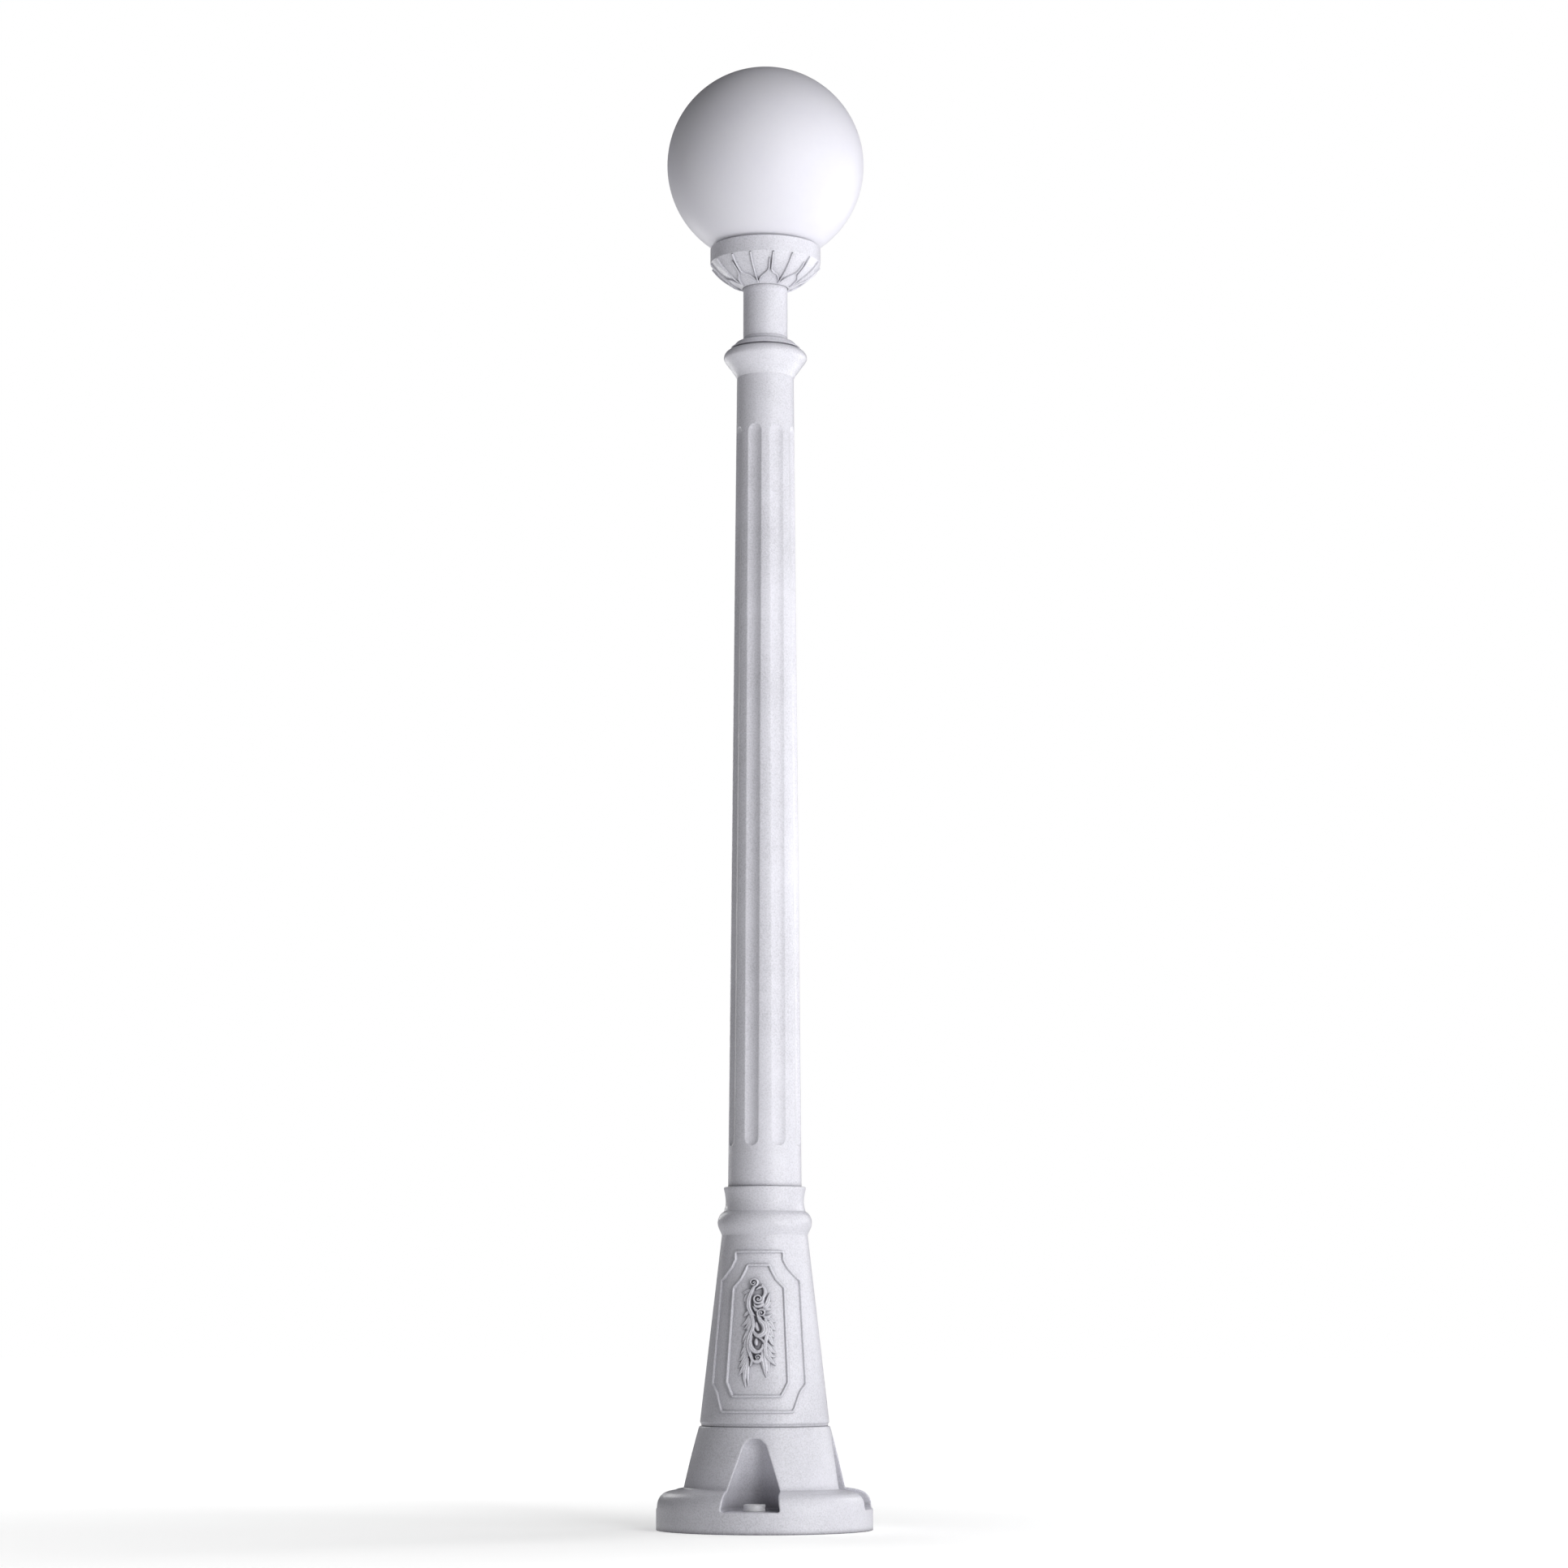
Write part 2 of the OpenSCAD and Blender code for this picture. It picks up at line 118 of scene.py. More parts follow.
def painted(name, base, rough=0.40, grain=1.0, hollow=0.0):
    """Satin powder coat: a fine orange peel, a finer sand and faint cloudiness, with painted shade that darkens the
    colour in creases and, if hollow is given, deeper in recesses.
    """
    m, nt, bsdf, obj = new_mat(name)
    cloud = noise(nt, obj, 9.0, 3.0)
    peel = noise(nt, obj, 420.0, 3.0, 0.5)
    sand = noise(nt, obj, 1300.0, 2.0, 0.6)
    mixed = math_node(nt, "ADD", math_node(nt, "MULTIPLY", cloud, 0.30),
                      math_node(nt, "ADD", math_node(nt, "MULTIPLY", peel, 0.42), math_node(nt, "MULTIPLY", sand, 0.28)))
    col = ramp(nt, mixed, [(0.37, tint(base, 0.80)), (0.5, base), (0.63, tint(base, 1.12))])
    # Painted shade: a short-reach ambient occlusion darkens the colour towards a dark tone in creases and tight
    # corners.
    ao = nt.nodes.new("ShaderNodeAmbientOcclusion")
    ao.samples = 8
    ao.inputs["Distance"].default_value = 0.009
    crease_shade = nt.nodes.new("ShaderNodeMix")
    crease_shade.data_type = "RGBA"
    nt.links.new(remap(nt, ao.outputs["AO"], 0.36, 0.93, 0.95, 0.0), crease_shade.inputs["Factor"])
    nt.links.new(col, crease_shade.inputs["A"])
    crease_shade.inputs["B"].default_value = (base[0] * 0.24, base[1] * 0.235, base[2] * 0.25, 1)
    colour = crease_shade.outputs["Result"]
    if hollow:
        # Painted shade: a longer-reach ambient occlusion from the piece itself darkens the colour deep in recesses.
        deep = nt.nodes.new("ShaderNodeAmbientOcclusion")
        deep.samples = 8
        deep.only_local = True
        deep.inputs["Distance"].default_value = hollow
        recess_shade = nt.nodes.new("ShaderNodeMix")
        recess_shade.data_type = "RGBA"
        nt.links.new(remap(nt, deep.outputs["AO"], 0.30, 0.80, 0.72, 0.0), recess_shade.inputs["Factor"])
        nt.links.new(colour, recess_shade.inputs["A"])
        recess_shade.inputs["B"].default_value = (base[0] * 0.28, base[1] * 0.275, base[2] * 0.28, 1)
        colour = recess_shade.outputs["Result"]
    nt.links.new(colour, bsdf.inputs["Base Color"])
    nt.links.new(remap(nt, math_node(nt, "ADD", math_node(nt, "MULTIPLY", cloud, 0.5), math_node(nt, "MULTIPLY", sand, 0.5)),
                       0.3, 0.7, rough - 0.05, rough + 0.07), bsdf.inputs["Roughness"])
    height = math_node(nt, "ADD", peel, math_node(nt, "MULTIPLY", sand, 0.5))
    bump(nt, bsdf, height, 0.34 * grain, 0.0008)
    bsdf.inputs["Specular IOR Level"].default_value = 0.45
    bsdf.inputs["Coat Weight"].default_value = 0.12
    bsdf.inputs["Coat Roughness"].default_value = 0.22
    return m


def opal(name):
    """Opal glass: milky, smooth and evenly glossy, with a very faint cloudiness in the body."""
    m, nt, bsdf, obj = new_mat(name)
    cloud = noise(nt, obj, 14.0, 2.0)
    fine = noise(nt, obj, 120.0, 3.0)
    col = ramp(nt, math_node(nt, "ADD", math_node(nt, "MULTIPLY", cloud, 0.7), math_node(nt, "MULTIPLY", fine, 0.3)),
               [(0.35, (0.900, 0.888, 0.978)), (0.65, (0.922, 0.912, 0.990))])
    nt.links.new(col, bsdf.inputs["Base Color"])
    nt.links.new(remap(nt, fine, 0.3, 0.7, 0.42, 0.50), bsdf.inputs["Roughness"])
    bump(nt, bsdf, fine, 0.03, 0.0005)
    bsdf.inputs["Subsurface Weight"].default_value = 0.15
    bsdf.inputs["Subsurface Radius"].default_value = (0.020, 0.019, 0.018)
    bsdf.inputs["Subsurface Scale"].default_value = 0.5
    bsdf.inputs["Specular IOR Level"].default_value = 0.18
    return m


def steel(name, base, rough, spangle=0.0, stretch=(1, 1, 1), scratch=0.4):
    m, nt, bsdf, obj = new_mat(name)
    cloud = noise(nt, obj, 60.0, 3.0)
    lines = noise(nt, stretched(nt, obj, stretch), 900.0, 3.0, 0.6)
    value = math_node(nt, "ADD", math_node(nt, "MULTIPLY", cloud, 0.6), math_node(nt, "MULTIPLY", lines, 0.4))
    if spangle:
        v = nt.nodes.new("ShaderNodeTexVoronoi")
        v.inputs["Scale"].default_value = spangle
        nt.links.new(obj, v.inputs["Vector"])
        bw = nt.nodes.new("ShaderNodeRGBToBW")
        nt.links.new(v.outputs["Color"], bw.inputs["Color"])
        value = math_node(nt, "ADD", math_node(nt, "MULTIPLY", value, 0.5), math_node(nt, "MULTIPLY", bw.outputs[0], 0.5))
    nt.links.new(ramp(nt, value, [(0.25, tint(base, 0.72)), (0.5, base), (0.78, tint(base, 1.18))]), bsdf.inputs["Base Color"])
    nt.links.new(remap(nt, value, 0.25, 0.75, rough - 0.08, rough + 0.12), bsdf.inputs["Roughness"])
    bsdf.inputs["Metallic"].default_value = 1.0
    bump(nt, bsdf, lines, scratch, 0.00015)
    return m


def plastic(name, base, rough, grain=0.25, scale=900.0):
    m, nt, bsdf, obj = new_mat(name)
    cloud = noise(nt, obj, 45.0, 3.0)
    fine = noise(nt, obj, scale, 3.0, 0.6)
    nt.links.new(ramp(nt, math_node(nt, "ADD", math_node(nt, "MULTIPLY", cloud, 0.5), math_node(nt, "MULTIPLY", fine, 0.5)),
                      [(0.3, tint(base, 0.86)), (0.5, base), (0.75, tint(base, 1.12))]), bsdf.inputs["Base Color"])
    nt.links.new(remap(nt, fine, 0.3, 0.7, rough - 0.06, rough + 0.08), bsdf.inputs["Roughness"])
    bump(nt, bsdf, fine, grain, 0.0002)
    return m


WHITE = (0.785, 0.78, 0.845)
M = {
    "white_paint": painted("white_paint", WHITE),
    # The plinth's paint has painted shade darkening its bolt recesses (hollow).
    "plinth_paint": painted("plinth_paint", WHITE, hollow=0.055),
    "opal_globe": opal("opal_globe"),
    "white_cap": plastic("white_cap", (0.93, 0.93, 0.955), 0.30, 0.10),
    "galvanised_steel": steel("galvanised_steel", (0.50, 0.52, 0.54), 0.42, spangle=130.0),
    "zinc_fastener": steel("zinc_fastener", (0.62, 0.62, 0.60), 0.30, stretch=(1, 1, 6)),
    "spring_steel": steel("spring_steel", (0.55, 0.55, 0.56), 0.24, stretch=(1, 1, 0.08)),
    "brass": steel("brass", (0.78, 0.56, 0.22), 0.28, stretch=(1, 1, 5)),
    "nickel": steel("nickel", (0.66, 0.64, 0.60), 0.22, stretch=(1, 1, 9)),
    "black_rubber": plastic("black_rubber", (0.022, 0.022, 0.023), 0.62, 0.5, 700.0),
    "dark_plastic": plastic("dark_plastic", (0.045, 0.046, 0.050), 0.42, 0.35),
    "porcelain": plastic("porcelain", (0.78, 0.76, 0.71), 0.16, 0.06, 300.0),
    "terminal_plastic": plastic("terminal_plastic", (0.66, 0.63, 0.55), 0.40, 0.2),
    "cable_sheath": plastic("cable_sheath", (0.60, 0.60, 0.60), 0.45, 0.2),
    "lead_insulation": plastic("lead_insulation", (0.36, 0.17, 0.07), 0.42, 0.2),
    "bulb_glass": opal("bulb_glass"),
    "black_glass": plastic("black_glass", (0.012, 0.012, 0.014), 0.10, 0.04, 250.0),
}
by_node = {
    "core_tube": "galvanised_steel", "foot_plate": "galvanised_steel", "foot_plate_bolts": "zinc_fastener",
    "supply_inlet": "dark_plastic", "inlet_pins": "brass", "inlet_seal": "black_rubber", "inlet_screws": "zinc_fastener",
    "centring_ring": "black_rubber", "sleeve_grub_screws": "zinc_fastener", "holder_screws": "zinc_fastener",
    "globe_gasket": "black_rubber", "globe_clips": "spring_steel", "clip_rivets": "zinc_fastener",
    "lamp_bracket": "galvanised_steel", "bracket_screws": "zinc_fastener", "terminal_block": "terminal_plastic",
    "terminal_screws": "brass", "earth_screw": "brass", "internal_cable": "cable_sheath", "lamp_leads": "lead_insulation",
    "lampholder_body": "porcelain", "lampholder_shell": "brass", "lampholder_contact": "brass", "lampholder_screws": "zinc_fastener",
    "anchor_washers": "zinc_fastener", "anchor_nuts": "zinc_fastener", "anchor_caps": "white_cap", "globe": "opal_globe",
    "lamp_tip_contact": "nickel", "lamp_cap": "nickel", "lamp_insulator": "black_glass", "lamp_glass": "bulb_glass",
}
for n, o in NODES.items():
    o.data.materials.clear()
    o.data.materials.append(M[by_node.get(n, "white_paint")])

# ------------------------------------------------------------------ mesh tools


def put(name, co, faces, mat, body="post", smooth=True):
    """A mesh object from vertices in mm and an (n, 4) or (n, 3) array of faces."""
    co = np.asarray(co, float) * MM
    faces = np.asarray(faces, np.int32)
    k = faces.shape[1]
    me = bpy.data.meshes.new(name)
    me.vertices.add(len(co))
    me.vertices.foreach_set("co", co.astype(np.float32).ravel())
    me.loops.add(faces.size)
    me.loops.foreach_set("vertex_index", faces.ravel())
    me.polygons.add(len(faces))
    me.polygons.foreach_set("loop_start", (np.arange(len(faces)) * k).astype(np.int32))
    me.update(calc_edges=True)
    me.validate()
    me.polygons.foreach_set("use_smooth", np.full(len(me.polygons), smooth))
    ob = bpy.data.objects.new(name, me)
    bpy.context.scene.collection.objects.link(ob)
    me.materials.append(M[mat])
    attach(ob, body)
    return ob


def fillet(points, loop=False):
    """Points (a, b, radius) become a polyline with each marked corner rounded."""
    out, n = [], len(points)
    for i, p in enumerate(points):
        r = p[2] if len(p) > 2 else 0.0
        if r <= 0 or (not loop and i in (0, n - 1)):
            out.append((p[0], p[1]))
            continue
        a, b, c = (np.array(points[j % n][:2], float) for j in (i - 1, i, i + 1))
        u, v = a - b, c - b
        lu, lv = np.linalg.norm(u), np.linalg.norm(v)
        u, v = u / lu, v / lv
        ang = math.acos(float(np.clip(u @ v, -1, 1)))
        if ang > math.pi - 0.02:
            out.append(tuple(b))
            continue
        t = min(r / math.tan(ang / 2), 0.48 * lu, 0.48 * lv)
        r = t * math.tan(ang / 2)
        mid = b + (u + v) / np.linalg.norm(u + v) * (r / math.sin(ang / 2))
        s, e = b + u * t - mid, b + v * t - mid
        phi = math.pi - ang
        steps = max(2, int(math.ceil(math.degrees(phi) / 11)))
        for k in range(steps + 1):
            w = k / steps
            q = mid + (math.sin((1 - w) * phi) * s + math.sin(w * phi) * e) / math.sin(phi)
            out.append(tuple(q))
    return np.array(out)


def supported(line, longest=12.0, edge=0.5, loop=False):
    """Splits long stretches and adds a holding point close to each of their ends."""
    out, n = [], len(line)
    for i in range(n if loop else n - 1):
        a, b = line[i], line[(i + 1) % n]
        d = np.linalg.norm(b - a)
        out.append(a)
        if d > 4 * edge:
            inner = max(1, int(math.ceil((d - 2 * edge) / longest)))
            for k in range(inner + 1):
                out.append(a + (b - a) / d * (edge + (d - 2 * edge) * k / inner))
    if not loop:
        out.append(line[-1])
    return np.array(out)


def curve(points, n):
    """Catmull-Rom through the points, n samples evenly spaced along it."""
    p = np.asarray(points, float)
    p = np.vstack([2 * p[0] - p[1], p, 2 * p[-1] - p[-2]])
    out = []
    for i in range(1, len(p) - 2):
        t = np.linspace(0, 1, 24, endpoint=False)[:, None]
        a, b, c, d = p[i - 1], p[i], p[i + 1], p[i + 2]
        out.append(0.5 * ((2 * b) + (-a + c) * t + (2 * a - 5 * b + 4 * c - d) * t ** 2 + (-a + 3 * b - 3 * c + d) * t ** 3))
    out.append(p[-2][None])
    q = np.vstack(out)
    s = np.concatenate([[0], np.cumsum(np.linalg.norm(np.diff(q, axis=0), axis=1))])
    w = np.linspace(0, s[-1], n)
    return np.stack([np.interp(w, s, q[:, k]) for k in range(q.shape[1])], 1)


def grid_faces(rows, cols, wrap_rows=False, wrap_cols=False, flip=False):
    i = np.arange(rows if wrap_rows else rows - 1)[:, None]
    j = np.arange(cols if wrap_cols else cols - 1)[None, :]
    i2, j2 = (i + 1) % rows, (j + 1) % cols
    f = np.stack([i * cols + j + 0 * i2, i * cols + j2, i2 * cols + j2, i2 * cols + j], -1).reshape(-1, 4)
    return f[:, ::-1] if flip else f


def lathe(name, profile, mat, body="post", n=256, loop=False, base_z=0.0, at=(0.0, 0.0), stretch=12.0):
    """Turns a profile, which runs upwards along the outside of the piece, or round it anticlockwise if it is a loop."""
    line = supported(fillet(profile, loop), stretch, loop=loop)
    a = np.arange(n) * 2 * math.pi / n
    co = np.stack([line[:, 0][:, None] * np.sin(a) + at[0], -line[:, 0][:, None] * np.cos(a) + at[1],
                   np.repeat(line[:, 1][:, None] + base_z, n, 1)], -1).reshape(-1, 3)
    return put(name, co, grid_faces(len(line), n, wrap_rows=loop, wrap_cols=True), mat, body)


def sweep(path, normal, across, half_w, height, section, closed=False, taper=None):
    """Vertices and faces of a bead along a path that lies on a surface. section is (side, rise) in units of half_w and height."""
    path, normal = np.asarray(path), np.asarray(normal)
    k = len(path)
    sec = np.asarray(section, float)
    w = np.full(k, half_w) if taper is None else half_w * taper
    h = np.full(k, height) if taper is None else height * taper
    co = (path[:, None] + across[:, None] * (sec[None, :, 0:1] * w[:, None, None]) + normal[:, None] * (sec[None, :, 1:2] * h[:, None, None]))
    return co.reshape(-1, 3), grid_faces(k, len(sec), wrap_rows=closed)


def across_of(path, normal, closed):
    t = np.roll(path, -1, 0) - np.roll(path, 1, 0)
    if not closed:
        t[0], t[-1] = path[1] - path[0], path[-1] - path[-2]
    t /= np.linalg.norm(t, axis=1)[:, None]
    a = np.cross(t, normal)
    return a / np.linalg.norm(a, axis=1)[:, None]


def nets(f, lo, h):
    """Surface nets on a grid of signed distances (negative inside). Returns vertices and quads that face outwards."""
    s = f < 0
    nx, ny, nz = f.shape
    count = sum(s[a:nx - 1 + a, b:ny - 1 + b, c:nz - 1 + c].astype(np.int8) for a in (0, 1) for b in (0, 1) for c in (0, 1))
    act = (count > 0) & (count < 8)
    idx = np.full(act.shape, -1, np.int64)
    cells = np.argwhere(act)
    idx[act] = np.arange(len(cells))
    acc, num = np.zeros((len(cells), 3)), np.zeros(len(cells))
    corner = [(a, b, c) for a in (0, 1) for b in (0, 1) for c in (0, 1)]
    val = {c: f[cells[:, 0] + c[0], cells[:, 1] + c[1], cells[:, 2] + c[2]] for c in corner}
    for c in corner:
        for ax in range(3):
            if c[ax]:
                continue
            d = tuple(v + (1 if i == ax else 0) for i, v in enumerate(c))
            p, q = val[c], val[d]
            cross = (p < 0) != (q < 0)
            t = np.where(cross, p / np.where(cross, p - q, 1.0), 0.0)
            pos = np.array(c, float)[None].repeat(len(cells), 0)
            pos[:, ax] += t
            acc[cross] += pos[cross]
            num[cross] += 1
    verts = lo + (cells + acc / num[:, None]) * h
    faces = []
    for ax in range(3):
        u, v = (ax + 1) % 3, (ax + 2) % 3
        lo_s = [slice(None)] * 3
        hi_s = [slice(None)] * 3
        lo_s[ax], hi_s[ax] = slice(0, -1), slice(1, None)
        a, b = s[tuple(lo_s)], s[tuple(hi_s)]
        for sign in (True, False):
            e = np.argwhere((a != b) & (a == sign))
            e = e[(e[:, u] > 0) & (e[:, v] > 0) & (e[:, u] < f.shape[u] - 1) & (e[:, v] < f.shape[v] - 1)]
            quad = []
            for du, dv in ((0, 0), (1, 0), (1, 1), (0, 1)):
                g = e.copy()
                g[:, u] -= 1 - du
                g[:, v] -= 1 - dv
                quad.append(idx[g[:, 0], g[:, 1], g[:, 2]])
            q = np.stack(quad, 1)
            faces.append(q if sign else q[:, ::-1])
    return verts, np.vstack(faces)


def poly_distance(p, poly):
    """Signed distance from 2-D points to a closed outline, negative inside."""
    d = np.full(len(p), 1e9)
    inside = np.zeros(len(p), bool)
    n = len(poly)
    for i in range(n):
        a, b = poly[i], poly[(i + 1) % n]
        e = b - a
        w = p - a
        t = np.clip((w @ e) / max(e @ e, 1e-12), 0, 1)
        d = np.minimum(d, np.linalg.norm(w - t[:, None] * e, axis=1))
        hit = ((a[1] <= p[:, 1]) != (b[1] <= p[:, 1]))
        x = a[0] + (p[:, 1] - a[1]) * e[0] / (e[1] if abs(e[1]) > 1e-12 else 1e-12)
        inside ^= hit & (p[:, 0] < x)
    return np.where(inside, -d, d)


def table(poly, r1, z0, z1, step=0.5):
    """A bilinear lookup of poly_distance on a grid, for speed."""
    r = np.arange(-4.0, r1 + step, step)
    z = np.arange(z0, z1 + step, step)
    rr, zz = np.meshgrid(r, z, indexing="ij")
    d = poly_distance(np.stack([rr.ravel(), zz.ravel()], 1), poly).reshape(rr.shape)

    def look(x, y):
        i = np.clip((x - r[0]) / step, 0, len(r) - 1.001)
        j = np.clip((y - z[0]) / step, 0, len(z) - 1.001)
        i0, j0 = i.astype(int), j.astype(int)
        fi, fj = i - i0, j - j0
        return ((1 - fi) * (1 - fj) * d[i0, j0] + fi * (1 - fj) * d[i0 + 1, j0]
                + (1 - fi) * fj * d[i0, j0 + 1] + fi * fj * d[i0 + 1, j0 + 1])
    return look


def soft_max(a, b, k):
    h = np.clip(0.5 + 0.5 * (a - b) / k, 0, 1)
    return a * h + b * (1 - h) + k * h * (1 - h)


# ------------------------------------------------------------------ base plinth, with its four bolt recesses

outer = [(158.3, 0.0), (158.3, 34.0, 12.0), (157.6, 40.0, 12.0), (155.8, 45.2, 9.0), (152.9, 50.0, 8.0), (147.9, 54.2, 8.0),
         (140.8, 57.2, 10.0), (132.0, 59.0, 20.0), (120.4, 60.3, 3.2), (96.9, 145.6, 6.0), (95.6, 149.2, 1.6), (92.6, 150.0)]
inner = [(78.0, 150.0), (78.0, 130.0), (54.0, 101.0), (54.0, 72.0), (30.7, 72.0), (30.7, 60.0), (54.0, 60.0), (54.0, 0.0)]
plinth_2d = table(np.vstack([fillet(outer), inner]), 166.0, -6.0, 158.0)
cut_2d = table(fillet([(0.0, 31.5), (43.0, 31.5, 3.2), (38.6, 57.0, 20.0), (30.0, 83.0, 20.0), (20.6, 110.0, 14.0), (16.4, 124.5, 8.0), (9.4, 132.9, 9.0), (0.0, 135.4)]), 150.0, 20.0, 150.0)


def plinth(p):
    x, y, z = p[:, 0], p[:, 1], p[:, 2]
    r = np.hypot(x, y)
    body = plinth_2d(r, z)
    u, v = np.maximum(abs(x), abs(y)), np.minimum(abs(x), abs(y))
    cut = cut_2d(np.where(u > 105.0, v, np.hypot(u - 105.0, v)), z)
    d = soft_max(body, -cut, 2.2)
    hole = np.maximum(np.hypot(u - 105.0, v) - 7.0, z - 40.0)
    return np.maximum(d, -hole)


def carved(name, f, lo, hi, h, mat):
    ax = [np.arange(lo[i], hi[i] + h, h) for i in range(3)]
    g = np.stack(np.meshgrid(*ax, indexing="ij"), -1).reshape(-1, 3)
    d = f(g).reshape([len(a) for a in ax])
    co, faces = nets(d, np.array(lo, float), h)
    for _ in range(4):
        e = 0.25
        v = f(co)
        gr = np.stack([(f(co + np.eye(3)[k] * e) - f(co - np.eye(3)[k] * e)) / (2 * e) for k in range(3)], 1)
        step = (v / np.maximum((gr ** 2).sum(1), 0.3))[:, None] * gr
        co = co - np.clip(step, -h * 0.5, h * 0.5)
    return put(name, co, faces, mat)


pl = carved("plinth_casting", plinth, (-161.3, -161.3, -2.3), (161.3, 161.3, 152.9), 1.55, "plinth_paint")
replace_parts(pl, "base_plinth")

# ------------------------------------------------------------------ anchor caps: turned, with a rounded rim and a moulded seam


def merge(name, parts, mat, body="post", smooth=True):
    co, fa, base = [], [], 0
    for c, f in parts:
        co.append(c)
        fa.append(f + base)
        base += len(c)
    return put(name, np.vstack(co), np.vstack(fa), mat, body, smooth)


def turned(profile, n=96, loop=False, at=(0.0, 0.0), stretch=12.0):
    line = supported(fillet(profile, loop), stretch, loop=loop)
    a = np.arange(n) * 2 * math.pi / n
    co = np.stack([line[:, 0][:, None] * np.sin(a) + at[0], -line[:, 0][:, None] * np.cos(a) + at[1],
                   np.repeat(line[:, 1][:, None], n, 1)], -1).reshape(-1, 3)
    return co, grid_faces(len(line), n, wrap_rows=loop, wrap_cols=True)


cap_line = [(12.2, 31.5), (16.2, 31.5, 0.4), (16.2, 33.6, 0.3), (15.9, 33.9, 0.3), (15.9, 40.2, 0.9), (15.0, 41.0, 0.6),
            (13.4, 41.0, 0.3), (13.0, 40.7, 0.3), (0.02, 40.75), (0.02, 39.8), (12.2, 39.8)]
caps = merge("anchor_cap_set", [turned(cap_line, 96, True, (105 * math.sin(a), -105 * math.cos(a))) for a in (0, math.pi / 2, math.pi, -math.pi / 2)], "white_cap")
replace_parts(caps, "anchor_caps")

# ------------------------------------------------------------------ pedestal shell


def cone_r(z):
    return 94.6 - (z - 155.5) * 31.4 / 271.5


shell = lathe("pedestal_drum", [
    (77.5, 142.0), (77.5, 150.0, 0.3), (92.6, 150.0, 0.8), (92.9, 152.6, 1.0), (94.7, 155.5, 1.5), (63.2, 426.6, 3.0), (65.2, 431.5, 6.0), (67.2, 435.5, 7.0),
    (68.9, 440.0, 8.0), (69.5, 445.0, 8.0), (68.8, 450.5, 8.0), (66.5, 455.5, 8.0), (63.5, 459.0, 6.0), (59.9, 461.6, 0.7), (59.4, 464.5, 3.0),
    (58.0, 469.0, 10.0), (57.5, 475.0, 12.0), (57.9, 481.0, 14.0), (58.9, 488.0, 10.0), (60.2, 493.2, 3.0), (60.3, 496.2, 1.0), (59.3, 497.2, 0.6), (54.0, 496.8),
    (48.4, 496.8), (48.4, 478.0), (54.0, 470.0), (54.0, 436.0), (57.5, 424.0), (88.0, 160.0), (72.0, 152.0), (72.0, 142.0)],
    "white_paint", n=384, loop=True, stretch=20.0)
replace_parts(shell, "pedestal_shell")

SECTION = [(-1.35, -0.45), (-1.2, -0.02), (-1.04, 0.10), (-0.93, 0.32), (-0.80, 0.58), (-0.60, 0.82), (-0.32, 0.96), (0, 1.0),
           (0.32, 0.96), (0.60, 0.82), (0.80, 0.58), (0.93, 0.32), (1.04, 0.10), (1.2, -0.02), (1.35, -0.45)]


def on_cone(x, z, rise=0.0, side=-1.0):
    r = cone_r(z)
    y = np.sqrt(np.maximum(r * r - x * x, 1.0))
    nx, ny, nz = x / r, side * y / r, np.full_like(x, 31.4 / 271.5)
    n = np.stack([nx, ny, nz], -1)
    n /= np.linalg.norm(n, axis=-1)[..., None]
    return np.stack([x, side * y, z], -1) + n * np.asarray(rise)[..., None], n


def bead(points, width, height):
    """A closed raised bead on the cone, front and back."""
    line = supported(fillet([(x, z, 3.0) for x, z in points], True), 4.0, 1.0, True)
    parts = []
    for side in (-1.0, 1.0):
        co, n = on_cone(line[:, 0] * (-side), line[:, 1], np.zeros(len(line)), side)
        s = sweep(co, n, across_of(co, n, True), width / 2, height, SECTION, True)
        parts.append(s)
    return parts


def mirrored(p):
    return p + [(-x, z) for x, z in reversed(p)]


inset_x = 1.8
outer_line = mirrored([(51.4, 171.4), (53.6, 176.6), (60.2, 199.0), (67.4, 210.4), (56.8, 360.0), (49.6, 367.4), (40.4, 378.6), (34.6, 390.4), (34.6, 401.6)])
inner_line = mirrored([(35.0, 193.6), (36.8, 197.0), (44.4, 213.6), (36.8, 349.2), (25.6, 361.6), (19.0, 374.0), (15.6, 382.2)])
merge("panel_beads_outer", bead(outer_line, 4.2, 2.9), "white_paint")
merge("panel_beads_inner", bead(inner_line, 4.2, 2.9), "white_paint")

# ------------------------------------------------------------------ leaf scroll: a relief in mm above the cone, made of layered strokes

STEP = 0.32
gx = np.arange(-33.0, 34.0 + STEP, STEP)
gz = np.arange(199.0, 366.0 + STEP, STEP)
GX, GZ = np.meshgrid(gx, gz, indexing="ij")
relief = np.full(GX.shape, -0.6)
BOLD, PROUD = 1.28, 1.5


